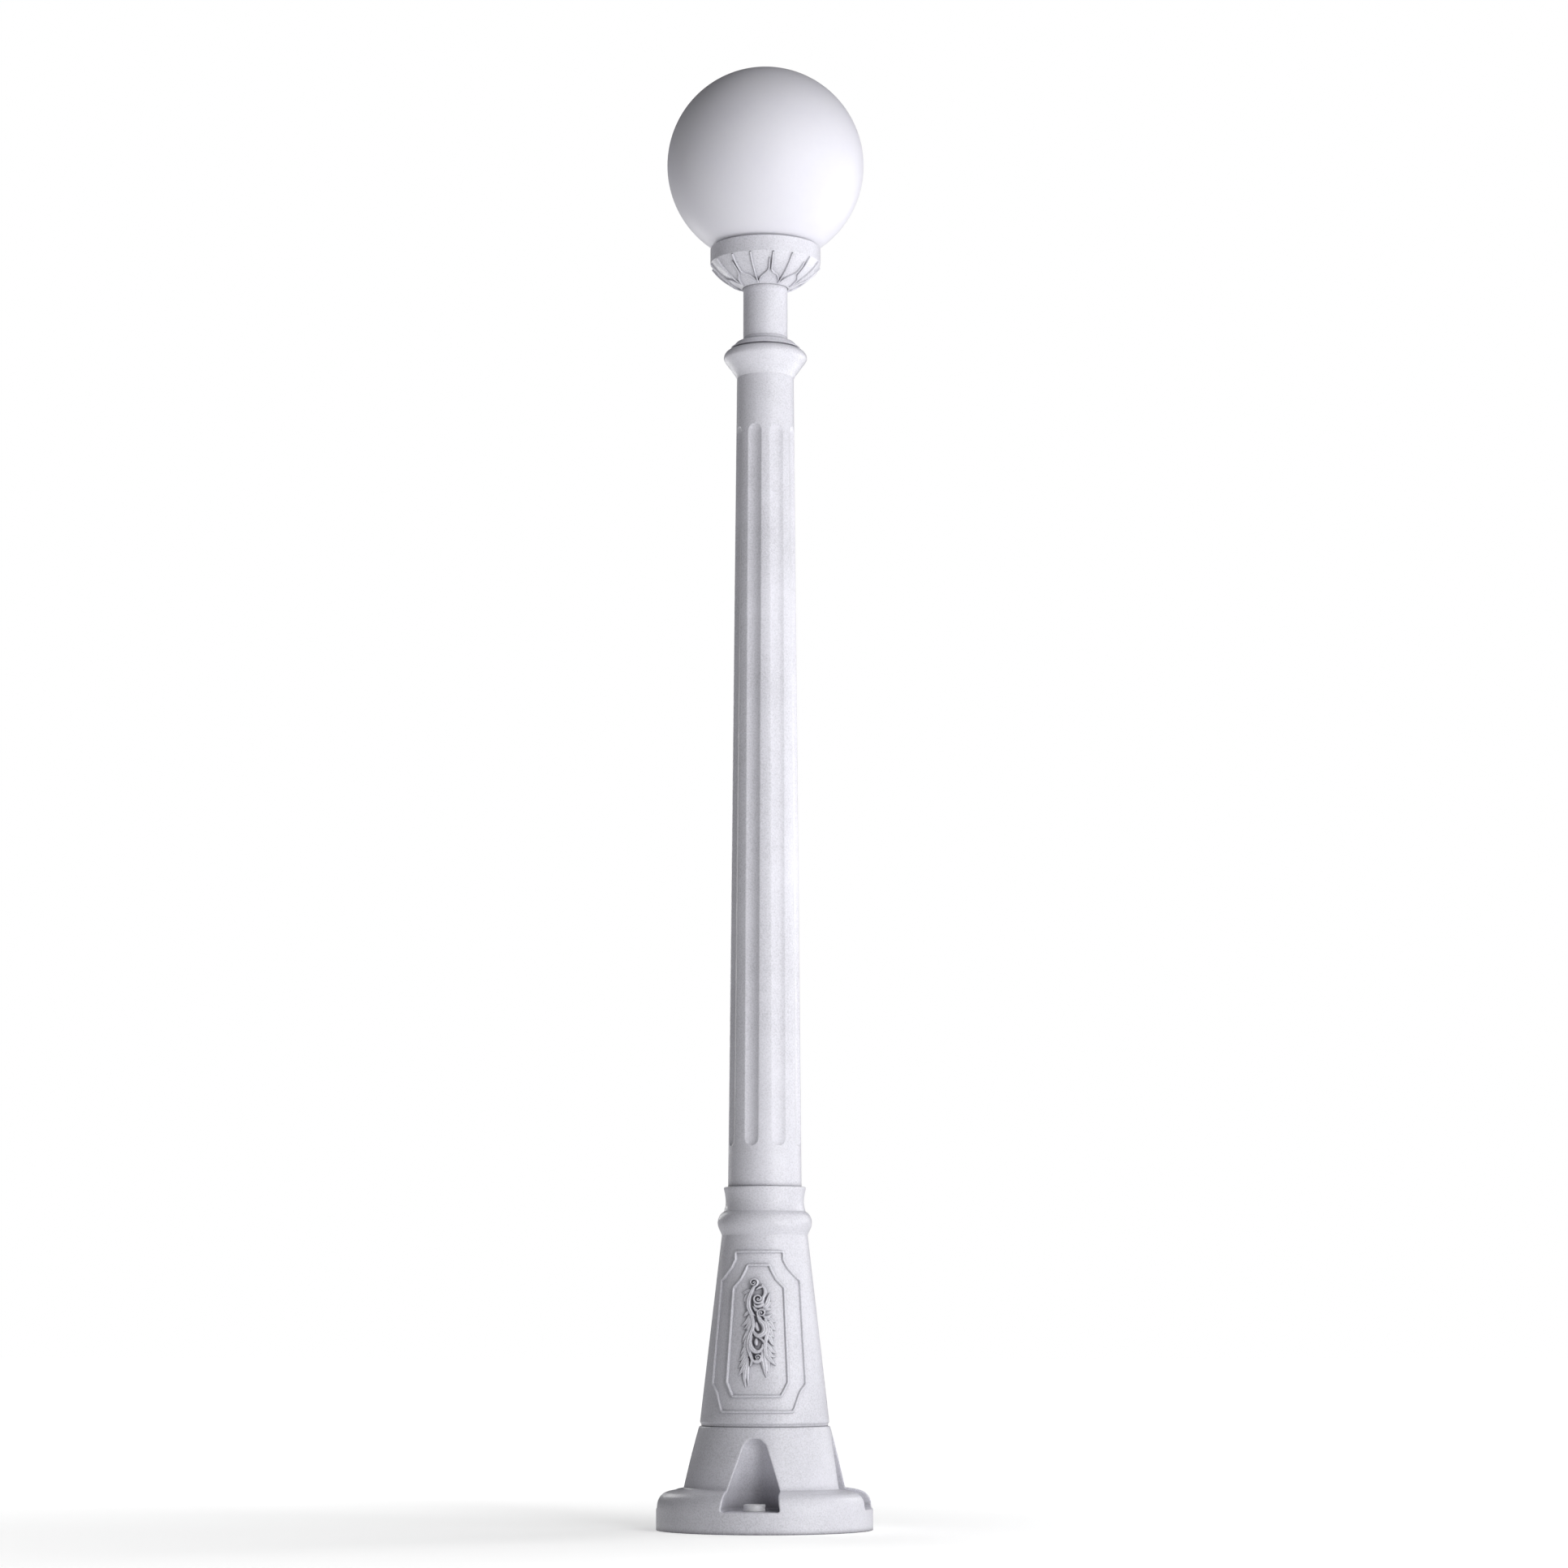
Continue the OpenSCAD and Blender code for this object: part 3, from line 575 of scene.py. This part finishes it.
def stroke(points, widths, heights, groove=0.0, base=0.0, edge=0.0, power=0.55, n=70):
    """One stroke of the relief. widths and heights are given along it; groove is the depth of its middle vein and edge lifts its rims."""
    global relief
    line = curve(points, n)
    t = np.linspace(0, 1, n)
    w = np.interp(t, np.linspace(0, 1, len(widths)), widths) * BOLD
    h = np.interp(t, np.linspace(0, 1, len(heights)), heights) * PROUD
    pad = max(w) + 1.0
    i0, i1 = np.searchsorted(gx, [line[:, 0].min() - pad, line[:, 0].max() + pad])
    j0, j1 = np.searchsorted(gz, [line[:, 1].min() - pad, line[:, 1].max() + pad])
    if i1 <= i0 or j1 <= j0:
        return
    px, pz = GX[i0:i1, j0:j1], GZ[i0:i1, j0:j1]
    best = np.full(px.shape, 1e9)
    bw, bh, bs = np.ones(px.shape), np.zeros(px.shape), np.zeros(px.shape)
    for k in range(n - 1):
        a, b = line[k], line[k + 1]
        e = b - a
        L = max(e @ e, 1e-9)
        s = np.clip(((px - a[0]) * e[0] + (pz - a[1]) * e[1]) / L, 0, 1)
        dx, dz = px - a[0] - s * e[0], pz - a[1] - s * e[1]
        ww = np.maximum(w[k] + s * (w[k + 1] - w[k]), 0.05)
        d = np.sqrt(dx * dx + dz * dz) / ww
        m = d < best
        best = np.where(m, d, best)
        bw = np.where(m, ww, bw)
        bh = np.where(m, h[k] + s * (h[k + 1] - h[k]), bh)
    body = np.clip(1 - best * best, 0, 1) ** power
    z = base + bh * body
    if groove:
        z = z - 1.5 * groove * np.exp(-(best / 0.20) ** 2) * np.clip(bw / 1.5, 0, 1)
    if edge:
        z = z + edge * np.exp(-((best - 0.72) / 0.16) ** 2)
    z = np.where(best < 1.0, z, -0.6)
    relief[i0:i1, j0:j1] = np.maximum(relief[i0:i1, j0:j1], z)


def volute(x, z, r, turns, start, width, height, eye=1.6, hand=1):
    """A spiral that winds in to a small boss."""
    t = np.linspace(0, 1, 40)
    rad = r * (1 - t) ** 0.85 + eye * 0.9
    ang = math.radians(start) + hand * t * turns * 2 * math.pi
    pts = np.stack([x + rad * np.cos(ang), z + rad * np.sin(ang)], 1)
    stroke(pts[::2], [width, width * 0.95, width * 0.75, width * 0.55], [height, height * 1.05, height * 1.1], groove=0.0, power=0.5, n=90)
    stroke([(x - 0.15, z), (x + 0.15, z)], [eye, eye], [height * 1.18, height * 1.18], power=0.5, n=4)


def leaf(points, width, height, groove=0.5, base=0.0):
    stroke(points, [width * 0.55, width * 0.95, width, width * 0.86, width * 0.55, 0.25], [height * 0.85, height, height, height * 0.85, height * 0.6, height * 0.35], groove=groove, base=base)


# left fronds, from the top down
leaf([(-9, 345), (-14.5, 344.5), (-19, 342), (-23, 343.5)], 2.6, 2.2)
leaf([(-11, 341), (-15, 338), (-18, 333), (-20, 328)], 2.5, 2.4)
leaf([(-12, 336), (-15.5, 331), (-16.5, 325)], 2.4, 2.4)
leaf([(-11, 316), (-15, 312), (-18.5, 309), (-20.5, 310.5)], 2.7, 2.8)
leaf([(-9, 311), (-13, 303), (-18, 297.5), (-24, 294)], 3.0, 3.0)
leaf([(-7.5, 306), (-11, 298), (-15, 292.5), (-20.5, 289)], 2.8, 3.2)
leaf([(-8, 300), (-11, 292), (-14, 286), (-17.5, 281.5)], 2.7, 3.3)
leaf([(-9, 289), (-13.5, 284), (-17.5, 277), (-21.5, 269.5)], 3.2, 2.9)
leaf([(-11.5, 280), (-15, 273), (-17.5, 265), (-20.5, 257.5)], 2.9, 3.1)
leaf([(-13, 268), (-17, 262), (-20.5, 256.5), (-24.6, 252.5)], 3.0, 2.9)
leaf([(-13, 260), (-18, 253), (-22, 247.5), (-27.3, 243.5)], 3.0, 2.8)
leaf([(-12, 254), (-17.5, 246), (-22, 239), (-27.5, 233.5)], 3.1, 2.7)
leaf([(-12, 247), (-17, 238), (-21.5, 230), (-26.8, 222.5)], 3.1, 2.6)
# tails that hang from the left stem
leaf([(-13, 243), (-16.5, 232), (-17.5, 220), (-15.5, 206)], 2.7, 2.3)
leaf([(-11, 243), (-13.2, 231), (-12.8, 219), (-11, 207)], 2.2, 1.9)
# right fronds
leaf([(9, 322), (12.5, 326), (15, 333), (17.3, 342.5)], 3.0, 2.6)
leaf([(8, 319), (12.5, 321.5), (16, 325.5), (20.5, 330)], 2.4, 2.2)
leaf([(9, 316.5), (13.5, 318), (17.5, 318.5), (20.5, 320)], 2.2, 2.5)
leaf([(8, 309), (11.5, 306.5), (15.5, 307.5), (20.5, 311.5)], 2.3, 2.9)
leaf([(11, 304), (16, 304.5), (20.5, 301.5), (26.3, 299.5)], 2.6, 2.4)
leaf([(13, 299), (18, 297.5), (21.5, 292.5), (26.3, 287.5)], 3.3, 2.6)
leaf([(14, 291), (18, 288), (20.5, 282), (24.5, 277.5)], 3.1, 2.6)
leaf([(14, 282), (17.5, 277.5), (20.5, 271), (24.0, 265.5)], 3.0, 2.7)
leaf([(13.5, 270), (17, 264), (21.5, 258), (27.6, 254.8)], 2.8, 2.9)
leaf([(13.5, 262), (17, 256), (22, 251), (28.0, 250.4)], 2.6, 2.8)
leaf([(13.5, 256), (17, 249.5), (21.5, 243.5), (27.6, 238.2)], 2.5, 2.6)
# the broad leaf at lower right and its smaller fellow
leaf([(8.5, 260), (9.5, 248), (12.0, 235), (13.8, 220.5)], 4.2, 3.4, groove=0.7)
leaf([(10.5, 262), (14.0, 251), (16.5, 241), (16.4, 228)], 3.2, 2.8, groove=0.5)
# stems
stroke([(-4.5, 351), (-8.5, 343), (-11.8, 333), (-12.4, 322), (-9, 313), (-5.8, 303), (-5.4, 293), (-8.5, 284), (-11.3, 274), (-11.8, 264), (-9.0, 254), (-6.2, 246), (-8.6, 237)],
       [1.9, 2.7, 3.2, 3.2, 2.7, 2.3, 2.4, 2.8, 3.1, 3.0, 2.6, 2.2, 0.8], [4.3, 4.2, 4.1, 4.0, 4.0, 4.1, 4.2, 4.0, 3.9, 3.9, 4.1, 4.3, 2.6], groove=0.75)
stroke([(6.4, 352.5), (9.6, 347.5), (10.4, 341), (8.0, 335.5), (3.8, 330.8)], [1.5, 2.0, 2.3, 2.2, 1.8], [3.6, 4.0, 4.3, 4.4, 4.5], groove=0.5)
stroke([(-1.6, 346.5), (2.4, 349.2), (6.8, 350.5)], [1.2, 1.9, 1.3], [3.0, 3.7, 3.6], groove=0.4)
stroke([(-6.0, 322), (-2.5, 317.5), (1.5, 315), (5.0, 314)], [1.0, 1.9, 2.2, 1.8], [3.2, 3.8, 4.2, 4.3], groove=0.4)
stroke([(-11.5, 322), (-8.3, 315), (-4.3, 310), (-1.6, 308)], [1.4, 2.0, 1.5, 0.5], [3.0, 3.4, 3.2, 2.2], groove=0.4)
stroke([(2.0, 316), (1.6, 309), (4.6, 302), (9.4, 296.5), (11.4, 290), (9.8, 284), (5.6, 280.6), (0.8, 280.2), (-2.9, 283.5), (-4.3, 288.4)],
       [1.6, 2.3, 2.9, 3.5, 4.1, 4.2, 3.9, 3.3, 2.5, 0.7], [4.0, 4.4, 4.6, 4.7, 4.8, 4.9, 4.8, 4.5, 4.0, 3.2], groove=0.7)
stroke([(11.2, 303.5), (14.0, 296), (15.0, 288), (13.6, 280), (12.2, 272), (11.6, 263), (12.4, 255), (15.2, 248.2), (20.0, 243.2), (27.0, 237.8)],
       [1.8, 2.5, 2.7, 2.6, 2.7, 2.9, 2.6, 2.0, 1.4, 0.5], [4.0, 4.2, 4.3, 4.3, 4.2, 4.2, 4.1, 3.8, 3.2, 2.0], groove=0.6)
stroke([(-6.6, 279.5), (-8.9, 272), (-8.4, 264.5), (-4.6, 259), (0.4, 256.6), (5.0, 258.2), (8.0, 262.5), (8.2, 266.8)],
       [1.2, 2.1, 2.9, 3.2, 3.1, 2.7, 2.2, 1.3], [3.6, 4.2, 4.6, 4.8, 4.8, 4.6, 4.2, 3.6], groove=0.6)
stroke([(3.5, 276.5), (8.2, 273.5), (10.2, 269)], [1.0, 2.0, 1.2], [3.0, 3.8, 3.4], groove=0.3)
stroke([(-0.9, 299), (-0.4, 293), (1.6, 288.2)], [1.4, 2.6, 2.0], [2.6, 3.4, 3.0], groove=0.3)
# bud
stroke([(-0.9, 275.0), (-0.7, 270.6), (-0.4, 267.2)], [1.6, 2.7, 1.9], [3.4, 4.6, 3.6], groove=0.0, power=0.5)
# cup under the lowest volute
stroke([(-7.0, 252.5), (-6.2, 246.5), (-2.2, 243.2), (2.6, 242.9), (6.4, 245.6), (8.0, 250.0)], [1.0, 1.9, 2.2, 2.2, 1.9, 0.8], [3.0, 3.6, 3.9, 3.9, 3.6, 3.0], groove=0.4)
# volutes
volute(-5.4, 356.4, 4.6, 1.45, -80, 1.65, 4.4, 1.5, hand=1)
volute(1.0, 333.0, 5.6, 1.5, 20, 2.0, 4.6, 1.8, hand=-1)
volute(5.9, 312.4, 4.2, 1.4, 200, 1.6, 4.7, 1.6, hand=-1)
volute(2.2, 248.8, 3.4, 1.35, 240, 1.4, 4.3, 1.3, hand=1)
stroke([(-4.8, 326.5), (-2.2, 322.6), (2.4, 321.8), (6.6, 324.6), (8.4, 329.6)], [0.9, 2.1, 2.7, 2.3, 1.0], [3.2, 3.9, 4.2, 4.0, 3.2], groove=0.5)

rel = relief.copy()
for _ in range(1):
    p = np.pad(rel, 1, mode="edge")
    rel = (4 * p[1:-1, 1:-1] + p[:-2, 1:-1] + p[2:, 1:-1] + p[1:-1, :-2] + p[1:-1, 2:]) / 8
up = relief > 0.02
keep = up.copy()
for sx in (-2, -1, 0, 1, 2):
    for sz in (-2, -1, 0, 1, 2):
        keep |= np.roll(np.roll(up, sx, 0), sz, 1)
rel = np.where(keep, rel, -0.6)
cell = keep[:-1, :-1] & keep[1:, :-1] & keep[:-1, 1:] & keep[1:, 1:]


def scroll_piece(name, side, node):
    co, _ = on_cone(GX.ravel() * (-side), GZ.ravel(), rel.ravel(), side)
    i, j = np.nonzero(cell)
    nz_ = len(gz)
    q = np.stack([i * nz_ + j, (i + 1) * nz_ + j, (i + 1) * nz_ + j + 1, i * nz_ + j + 1], 1)
    used = np.zeros(len(co), bool)
    used[q.ravel()] = True
    renum = np.cumsum(used) - 1
    ob = put(name, co[used], renum[q], "white_paint")
    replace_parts(ob, node)


scroll_piece("scroll_relief_front", -1.0, "panel_scroll_front")
scroll_piece("scroll_relief_rear", 1.0, "panel_scroll_rear")

# ------------------------------------------------------------------ fluted column


def col_r(z):
    return 54.2 - (z - 497.0) * 11.2 / 1221.0


def column():
    half, depth = 10.7, 3.5
    rho = (half ** 2 + 2.3 ** 2) / (2 * 2.3)
    zs = np.concatenate([[480.0, 481.0, 496.0], [496.9, 497.2, 498.2], np.linspace(500, 552, 7), np.arange(553.0, 586.0, 1.0),
                         np.linspace(590, 1608, 60), np.arange(1611.0, 1646.0, 1.0), np.linspace(1650, 1712, 8), [1716.5, 1717.4, 1718.0]])
    z0, z1 = 568.0, 1629.0
    inner, land = ((30, 12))
    rows = []
    for z in zs:
        r0 = 48.1 if z < 496.5 else (53.9 if abs(z - 496.9) < 0.05 else col_r(z))
        alpha = math.asin(half / max(r0, 20.0))
        sector = 2 * math.pi / 8
        s = np.linspace(-1, 1, inner + 1)
        tf = np.sign(s) * np.abs(s) ** 0.9 * alpha
        tl = alpha + (sector - 2 * alpha) * np.linspace(0, 1, land + 1)[1:-1]
        th = np.concatenate([tf, tl])
        for k in range(8):
            a = th + math.radians(8.6 + 22.5 + 45 * k)
            x = r0 * np.sin(th)
            over = max(z0 - z, z - z1, 0.0)
            d = np.zeros_like(x)
            if 497.5 < z < 1717:
                shrink = half ** 2 - over ** 2
                lateral = x.copy()
                lateral[inner + 1:] = 1e3
                room = shrink - lateral ** 2
                g = rho ** 2 - lateral ** 2 - over ** 2
                surf = r0 - np.where(room > 0, r0 * np.cos(th) - (r0 * math.cos(alpha) - (np.sqrt(np.maximum(g, 0)) - (rho - 2.3))), 0)
                d = np.where(room > 0, np.maximum(r0 - surf, 0) * (depth / 3.5), 0)
            rr = r0 - d
            rows.append(np.stack([rr * np.sin(a), -rr * np.cos(a), np.full_like(rr, z)], 1))
    per = len(rows[0]) * 8
    co = np.vstack(rows)
    f = grid_faces(len(zs), per, wrap_cols=True)
    return put("fluted_column", co, f, "white_paint")


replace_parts(column(), "column_shaft")

# ------------------------------------------------------------------ capital, sleeve, holder

cap = lathe("turned_capital", [
    (30.7, -14.0), (35.3, -14.0), (35.3, 0.0, 0.2), (42.9, 0.0, 0.4), (46.0, 6.0, 20.0), (50.5, 12.0, 30.0), (55.0, 18.5, 30.0), (60.0, 25.0, 14.0), (62.7, 29.3, 5.0),
    (63.1, 32.0, 5.0), (62.3, 36.2, 8.0), (59.6, 40.0, 6.0), (56.6, 42.2, 2.0), (50.4, 43.4, 0.5), (50.2, 45.2, 0.4), (52.2, 46.0, 0.8), (52.4, 47.6, 0.9), (50.4, 49.0, 0.6), (48.4, 48.9, 0.4),
    (47.6, 50.6, 2.0), (45.6, 53.6, 3.0), (43.2, 55.8, 0.9), (34.6, 57.0, 0.5), (33.6, 57.6, 0.4), (33.6, 62.8, 0.15), (33.0, 63.0), (30.7, 63.0)],
    "white_paint", n=256, loop=True, base_z=HEAD)
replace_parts(cap, "column_capital")

sleeve = lathe("holder_sleeve", [
    (30.7, 63.0), (33.6, 63.0, 0.6), (33.6, 152.0, 0.5), (46.0, 152.0, 0.6), (46.0, 157.0, 0.6), (38.0, 157.0, 0.5), (38.0, 172.0, 0.8), (30.7, 172.0, 0.5)],
    "white_paint", n=192, loop=True, base_z=HEAD, stretch=20.0)
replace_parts(sleeve, "spigot_sleeve")

skin = [(34.8, 140.2), (40.0, 143.2), (48.6, 147.6), (55.8, 152.1), (63.0, 157.1), (69.0, 162.0), (74.0, 166.8), (78.0, 171.4), (83.4, 178.2)]
skin_line = curve(skin, 60)
rim = fillet([(83.4, 178.2), (83.9, 179.0, 0.35), (83.9, 201.6, 1.1), (83.0, 203.0, 0.8), (80.2, 203.0, 0.6), (79.5, 202.2, 0.6), (79.5, 179.0, 0.4), (70.5, 179.0, 0.5), (70.5, 171.0, 1.0),
              (66.0, 165.0), (61.0, 160.5), (56.0, 157.0, 1.0), (46.4, 157.0, 0.4), (46.4, 152.0, 0.4), (33.8, 152.0, 0.4), (33.8, 140.4)])
holder_line = np.vstack([skin_line, supported(rim[1:], 12.0, 0.4)])
hn = 320
aa = np.arange(hn) * 2 * math.pi / hn
hco = np.stack([holder_line[:, 0][:, None] * np.sin(aa), -holder_line[:, 0][:, None] * np.cos(aa), np.repeat(holder_line[:, 1][:, None] + HEAD, hn, 1)], -1).reshape(-1, 3)
holder = put("holder_dish", hco, grid_faces(len(holder_line), hn, wrap_rows=True, wrap_cols=True), "white_paint")
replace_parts(holder, "globe_holder")


def on_skin(phi, r):
    """A point on the underside of the holder at azimuth phi in degrees and radius r, with the surface's outward normal."""
    z = np.interp(r, skin_line[:, 0], skin_line[:, 1])
    slope = np.interp(r + 0.6, skin_line[:, 0], skin_line[:, 1]) - np.interp(r - 0.6, skin_line[:, 0], skin_line[:, 1])
    run = np.interp(r + 0.6, skin_line[:, 0], skin_line[:, 0]) - np.interp(r - 0.6, skin_line[:, 0], skin_line[:, 0])
    t = np.stack([run, slope], 1)
    t /= np.maximum(np.linalg.norm(t, axis=1), 1e-6)[:, None]
    nr, nz_ = t[:, 1], -t[:, 0]
    a = np.radians(phi)
    return (np.stack([r * np.sin(a), -r * np.cos(a), z + HEAD], 1), np.stack([nr * np.sin(a), -nr * np.cos(a), nz_], 1))


def rib(points, w=1.3, h=2.8, start=0.25, end=0.25):
    p = curve(points, 44)
    co, n = on_skin(p[:, 0], p[:, 1])
    t = np.linspace(0, 1, len(p))
    taper = np.clip(np.minimum(start + t * 14, end + (1 - t) * 14), 0, 1) ** 0.6
    return sweep(co, n, across_of(co, n, False), w, h, SECTION, False, taper)


ribs = []
for k in range(8):
    c = -7.9 + 45 * k
    ribs.append(rib([(c, 37.0), (c, 50.0), (c, 66.0), (c, 83.0)], end=1.0))
    ribs.append(rib([(c + 3.0, 41.0), (c + 6.0, 46.5), (c + 11.0, 52.0), (c + 17.0, 57.0), (c + 20.3, 62.5), (c + 20.6, 69.0), (c + 20.2, 76.7)]))
    ribs.append(rib([(c - 3.0, 42.5), (c - 5.6, 47.5), (c - 10.0, 53.2), (c - 17.2, 57.3), (c - 20.4, 61.5), (c - 21.0, 70.0), (c - 21.0, 83.0)], end=1.0))
merge("holder_ribs", ribs, "white_paint")

# ------------------------------------------------------------------ opal globe: blown shell with a neck and a fire-polished lip

gc = 203.0 + 0.8 + math.sqrt(150.0 ** 2 - 75.0 ** 2)
ring_t = np.linspace(math.asin(75.0 / 150.0) + 0.030, math.pi, 74)
out_line = [(150.0 * math.sin(t), gc - 150.0 * math.cos(t)) for t in ring_t]
in_t = np.linspace(math.pi, math.asin(72.0 / 147.0) + 0.02, 60)
in_line = [(147.0 * math.sin(t), gc - 147.0 * math.cos(t)) for t in in_t]
lip = [tuple(p) for p in fillet([(72.0, 206.0), (72.0, 182.0, 1.2), (75.0, 182.0, 1.2), (75.0, 202.6, 1.5), out_line[0]])]
gl = np.array([(72.0, 203.5)] + lip[1:-1] + out_line[:-1] + [(0.05, gc + 150.0), (0.05, gc + 147.0)] + in_line[1:])
gn = 224
ga = np.arange(gn) * 2 * math.pi / gn
gco = np.stack([gl[:, 0][:, None] * np.sin(ga), -gl[:, 0][:, None] * np.cos(ga), np.repeat(gl[:, 1][:, None] + HEAD, gn, 1)], -1).reshape(-1, 3)
globe = put("opal_sphere", gco, grid_faces(len(gl), gn, wrap_rows=True, wrap_cols=True), "opal_globe", "globe_body")
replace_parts(globe, "globe")

# ------------------------------------------------------------------ small CAD pieces get a narrow bevel, so that their edges catch the light

for n in ("foot_plate", "foot_plate_bolts", "supply_inlet", "lamp_bracket", "terminal_block", "anchor_nuts", "anchor_washers", "globe_clips"):
    o = NODES[n]
    b = o.modifiers.new("edge", "BEVEL")
    b.width = 0.0003
    b.segments = 2
    b.limit_method = "ANGLE"
    b.angle_limit = math.radians(40)
    b.harden_normals = False

# ------------------------------------------------------------------ floor, light and camera

FLOOR_NEAR = 0.47
floor_me = bpy.data.meshes.new("studio_floor")
s = 30.0
floor_me.from_pydata([(-s, -s, 0), (s, -s, 0), (s, s, 0), (-s, s, 0)], [], [(0, 1, 2, 3)])
floor = bpy.data.objects.new("studio_floor", floor_me)
bpy.context.scene.collection.objects.link(floor)
fm, fnt, fb, fobj = new_mat("pale_floor")
nt = fnt
nt.links.new(ramp(nt, noise(nt, fobj, 3.0, 3.0), [(0.3, (0.90, 0.90, 0.90)), (0.7, (0.92, 0.92, 0.92))]), fb.inputs["Base Color"])
fb.inputs["Roughness"].default_value = 0.9
fb.inputs["Specular IOR Level"].default_value = 0.0
reach = nt.nodes.new("ShaderNodeVectorMath")
reach.operation = "LENGTH"
nt.links.new(fobj, reach.inputs[0])
fb.inputs["Emission Color"].default_value = (1.0, 1.0, 1.0, 1)
nt.links.new(remap(nt, reach.outputs["Value"], 0.3, 2.6, FLOOR_NEAR, 1.0), fb.inputs["Emission Strength"])
floor_me.materials.append(fm)
floor.visible_diffuse = floor.visible_glossy = floor.visible_transmission = False      # it doesn't light the post


def area(name, azimuth, dist, height, aim, size, power, spread=180.0, size_y=None, color=(1, 1, 1)):
    """A soft light; azimuth is measured from the camera's side, towards the right of the picture."""
    a = math.radians(azimuth + 7.7)
    d = bpy.data.lights.new(name, "AREA")
    d.shape = "RECTANGLE"
    d.size, d.size_y = size, size_y or size
    d.energy = power
    d.color = color
    d.spread = math.radians(spread)
    o = bpy.data.objects.new(name, d)
    bpy.context.scene.collection.objects.link(o)
    o.location = (dist * math.sin(a), -dist * math.cos(a), height)
    o.rotation_euler = (Vector(aim) - o.location).to_track_quat("-Z", "Y").to_euler()
    return o


# Soft boxes in three tiers, the strongest at the right front, as a studio has them.
for name, azimuth, dist, height, aim, size, size_y, power in (
        ("key_high", 35, 2.2, 2.1, 1.7, 0.7, 0.9, 8.2), ("key_middle", 30, 2.3, 1.2, 1.1, 0.6, 1.0, 10.8), ("key_low", 60, 2.2, 0.45, 0.35, 0.7, 0.8, 8.1),
        ("front_low", 30, 2.2, 0.45, 0.35, 0.7, 0.8, 2.0), ("side_middle", 90, 2.3, 1.2, 1.1, 0.6, 1.0, 3.6), ("side_high", 110, 2.2, 2.1, 1.7, 0.7, 0.9, 2.8),
        ("rear_right", 125, 2.3, 1.2, 1.1, 0.6, 1.0, 11.0), ("rear_left", -150, 2.3, 1.2, 1.1, 0.6, 1.0, 8.2), ("rear_left_high", -150, 2.2, 2.1, 1.7, 0.7, 0.9, 0.7),
        ("left_middle", -100, 2.3, 1.2, 1.1, 0.6, 1.0, 0.8), ("high_right", 60, 2.2, 2.6, 1.2, 0.8, 0.8, 7.2), ("overhead", 30, 1.2, 3.2, 1.0, 1.2, 1.2, 3.3),
        ("globe_from_below", 40, 1.6, 0.15, 1.9, 0.8, 0.8, 8.4), ("left_from_below", -70, 1.6, 0.15, 1.9, 0.8, 0.8, 0.6)):
    area(name, azimuth, dist, height, (0, 0, aim), size, power, size_y=size_y)

world = bpy.data.worlds.new("studio")
bpy.context.scene.world = world
world.use_nodes = True
wn = world.node_tree
bg = wn.nodes["Background"]
bg.inputs["Color"].default_value = (1.0, 1.0, 1.0, 1)
# What comes up from below stands for the light that a pale floor throws back.
sky = wn.nodes.new("ShaderNodeTexCoord")
parts = wn.nodes.new("ShaderNodeSeparateXYZ")
wn.links.new(sky.outputs["Generated"], parts.inputs[0])
wn.links.new(remap(wn, parts.outputs["Z"], -0.02, 0.02, 0.577, 0.055), bg.inputs["Strength"])
white_bg = wn.nodes.new("ShaderNodeBackground")
white_bg.inputs["Color"].default_value = (1.0, 1.0, 1.0, 1)
white_bg.inputs["Strength"].default_value = 1.0
path = wn.nodes.new("ShaderNodeLightPath")
mix = wn.nodes.new("ShaderNodeMixShader")
wn.links.new(path.outputs["Is Camera Ray"], mix.inputs["Fac"])
wn.links.new(bg.outputs[0], mix.inputs[1])
wn.links.new(white_bg.outputs[0], mix.inputs[2])
wn.links.new(mix.outputs[0], wn.nodes["World Output"].inputs["Surface"])

cam_data = bpy.data.cameras.new("camera")
cam = bpy.data.objects.new("camera", cam_data)
bpy.context.scene.collection.objects.link(cam)
cam.location = (0.8065, -5.7539, 0.2929)
cam.rotation_euler = (math.radians(97.886), 0.0, math.radians(7.7))
cam_data.lens = 90.0
cam_data.sensor_width = 36.0
cam_data.clip_start, cam_data.clip_end = 0.05, 200.0
bpy.context.scene.camera = cam

vs = bpy.context.scene.view_settings
vs.view_transform = "Standard"
vs.look = "None"
vs.exposure = 0.0
vs.gamma = 1.0
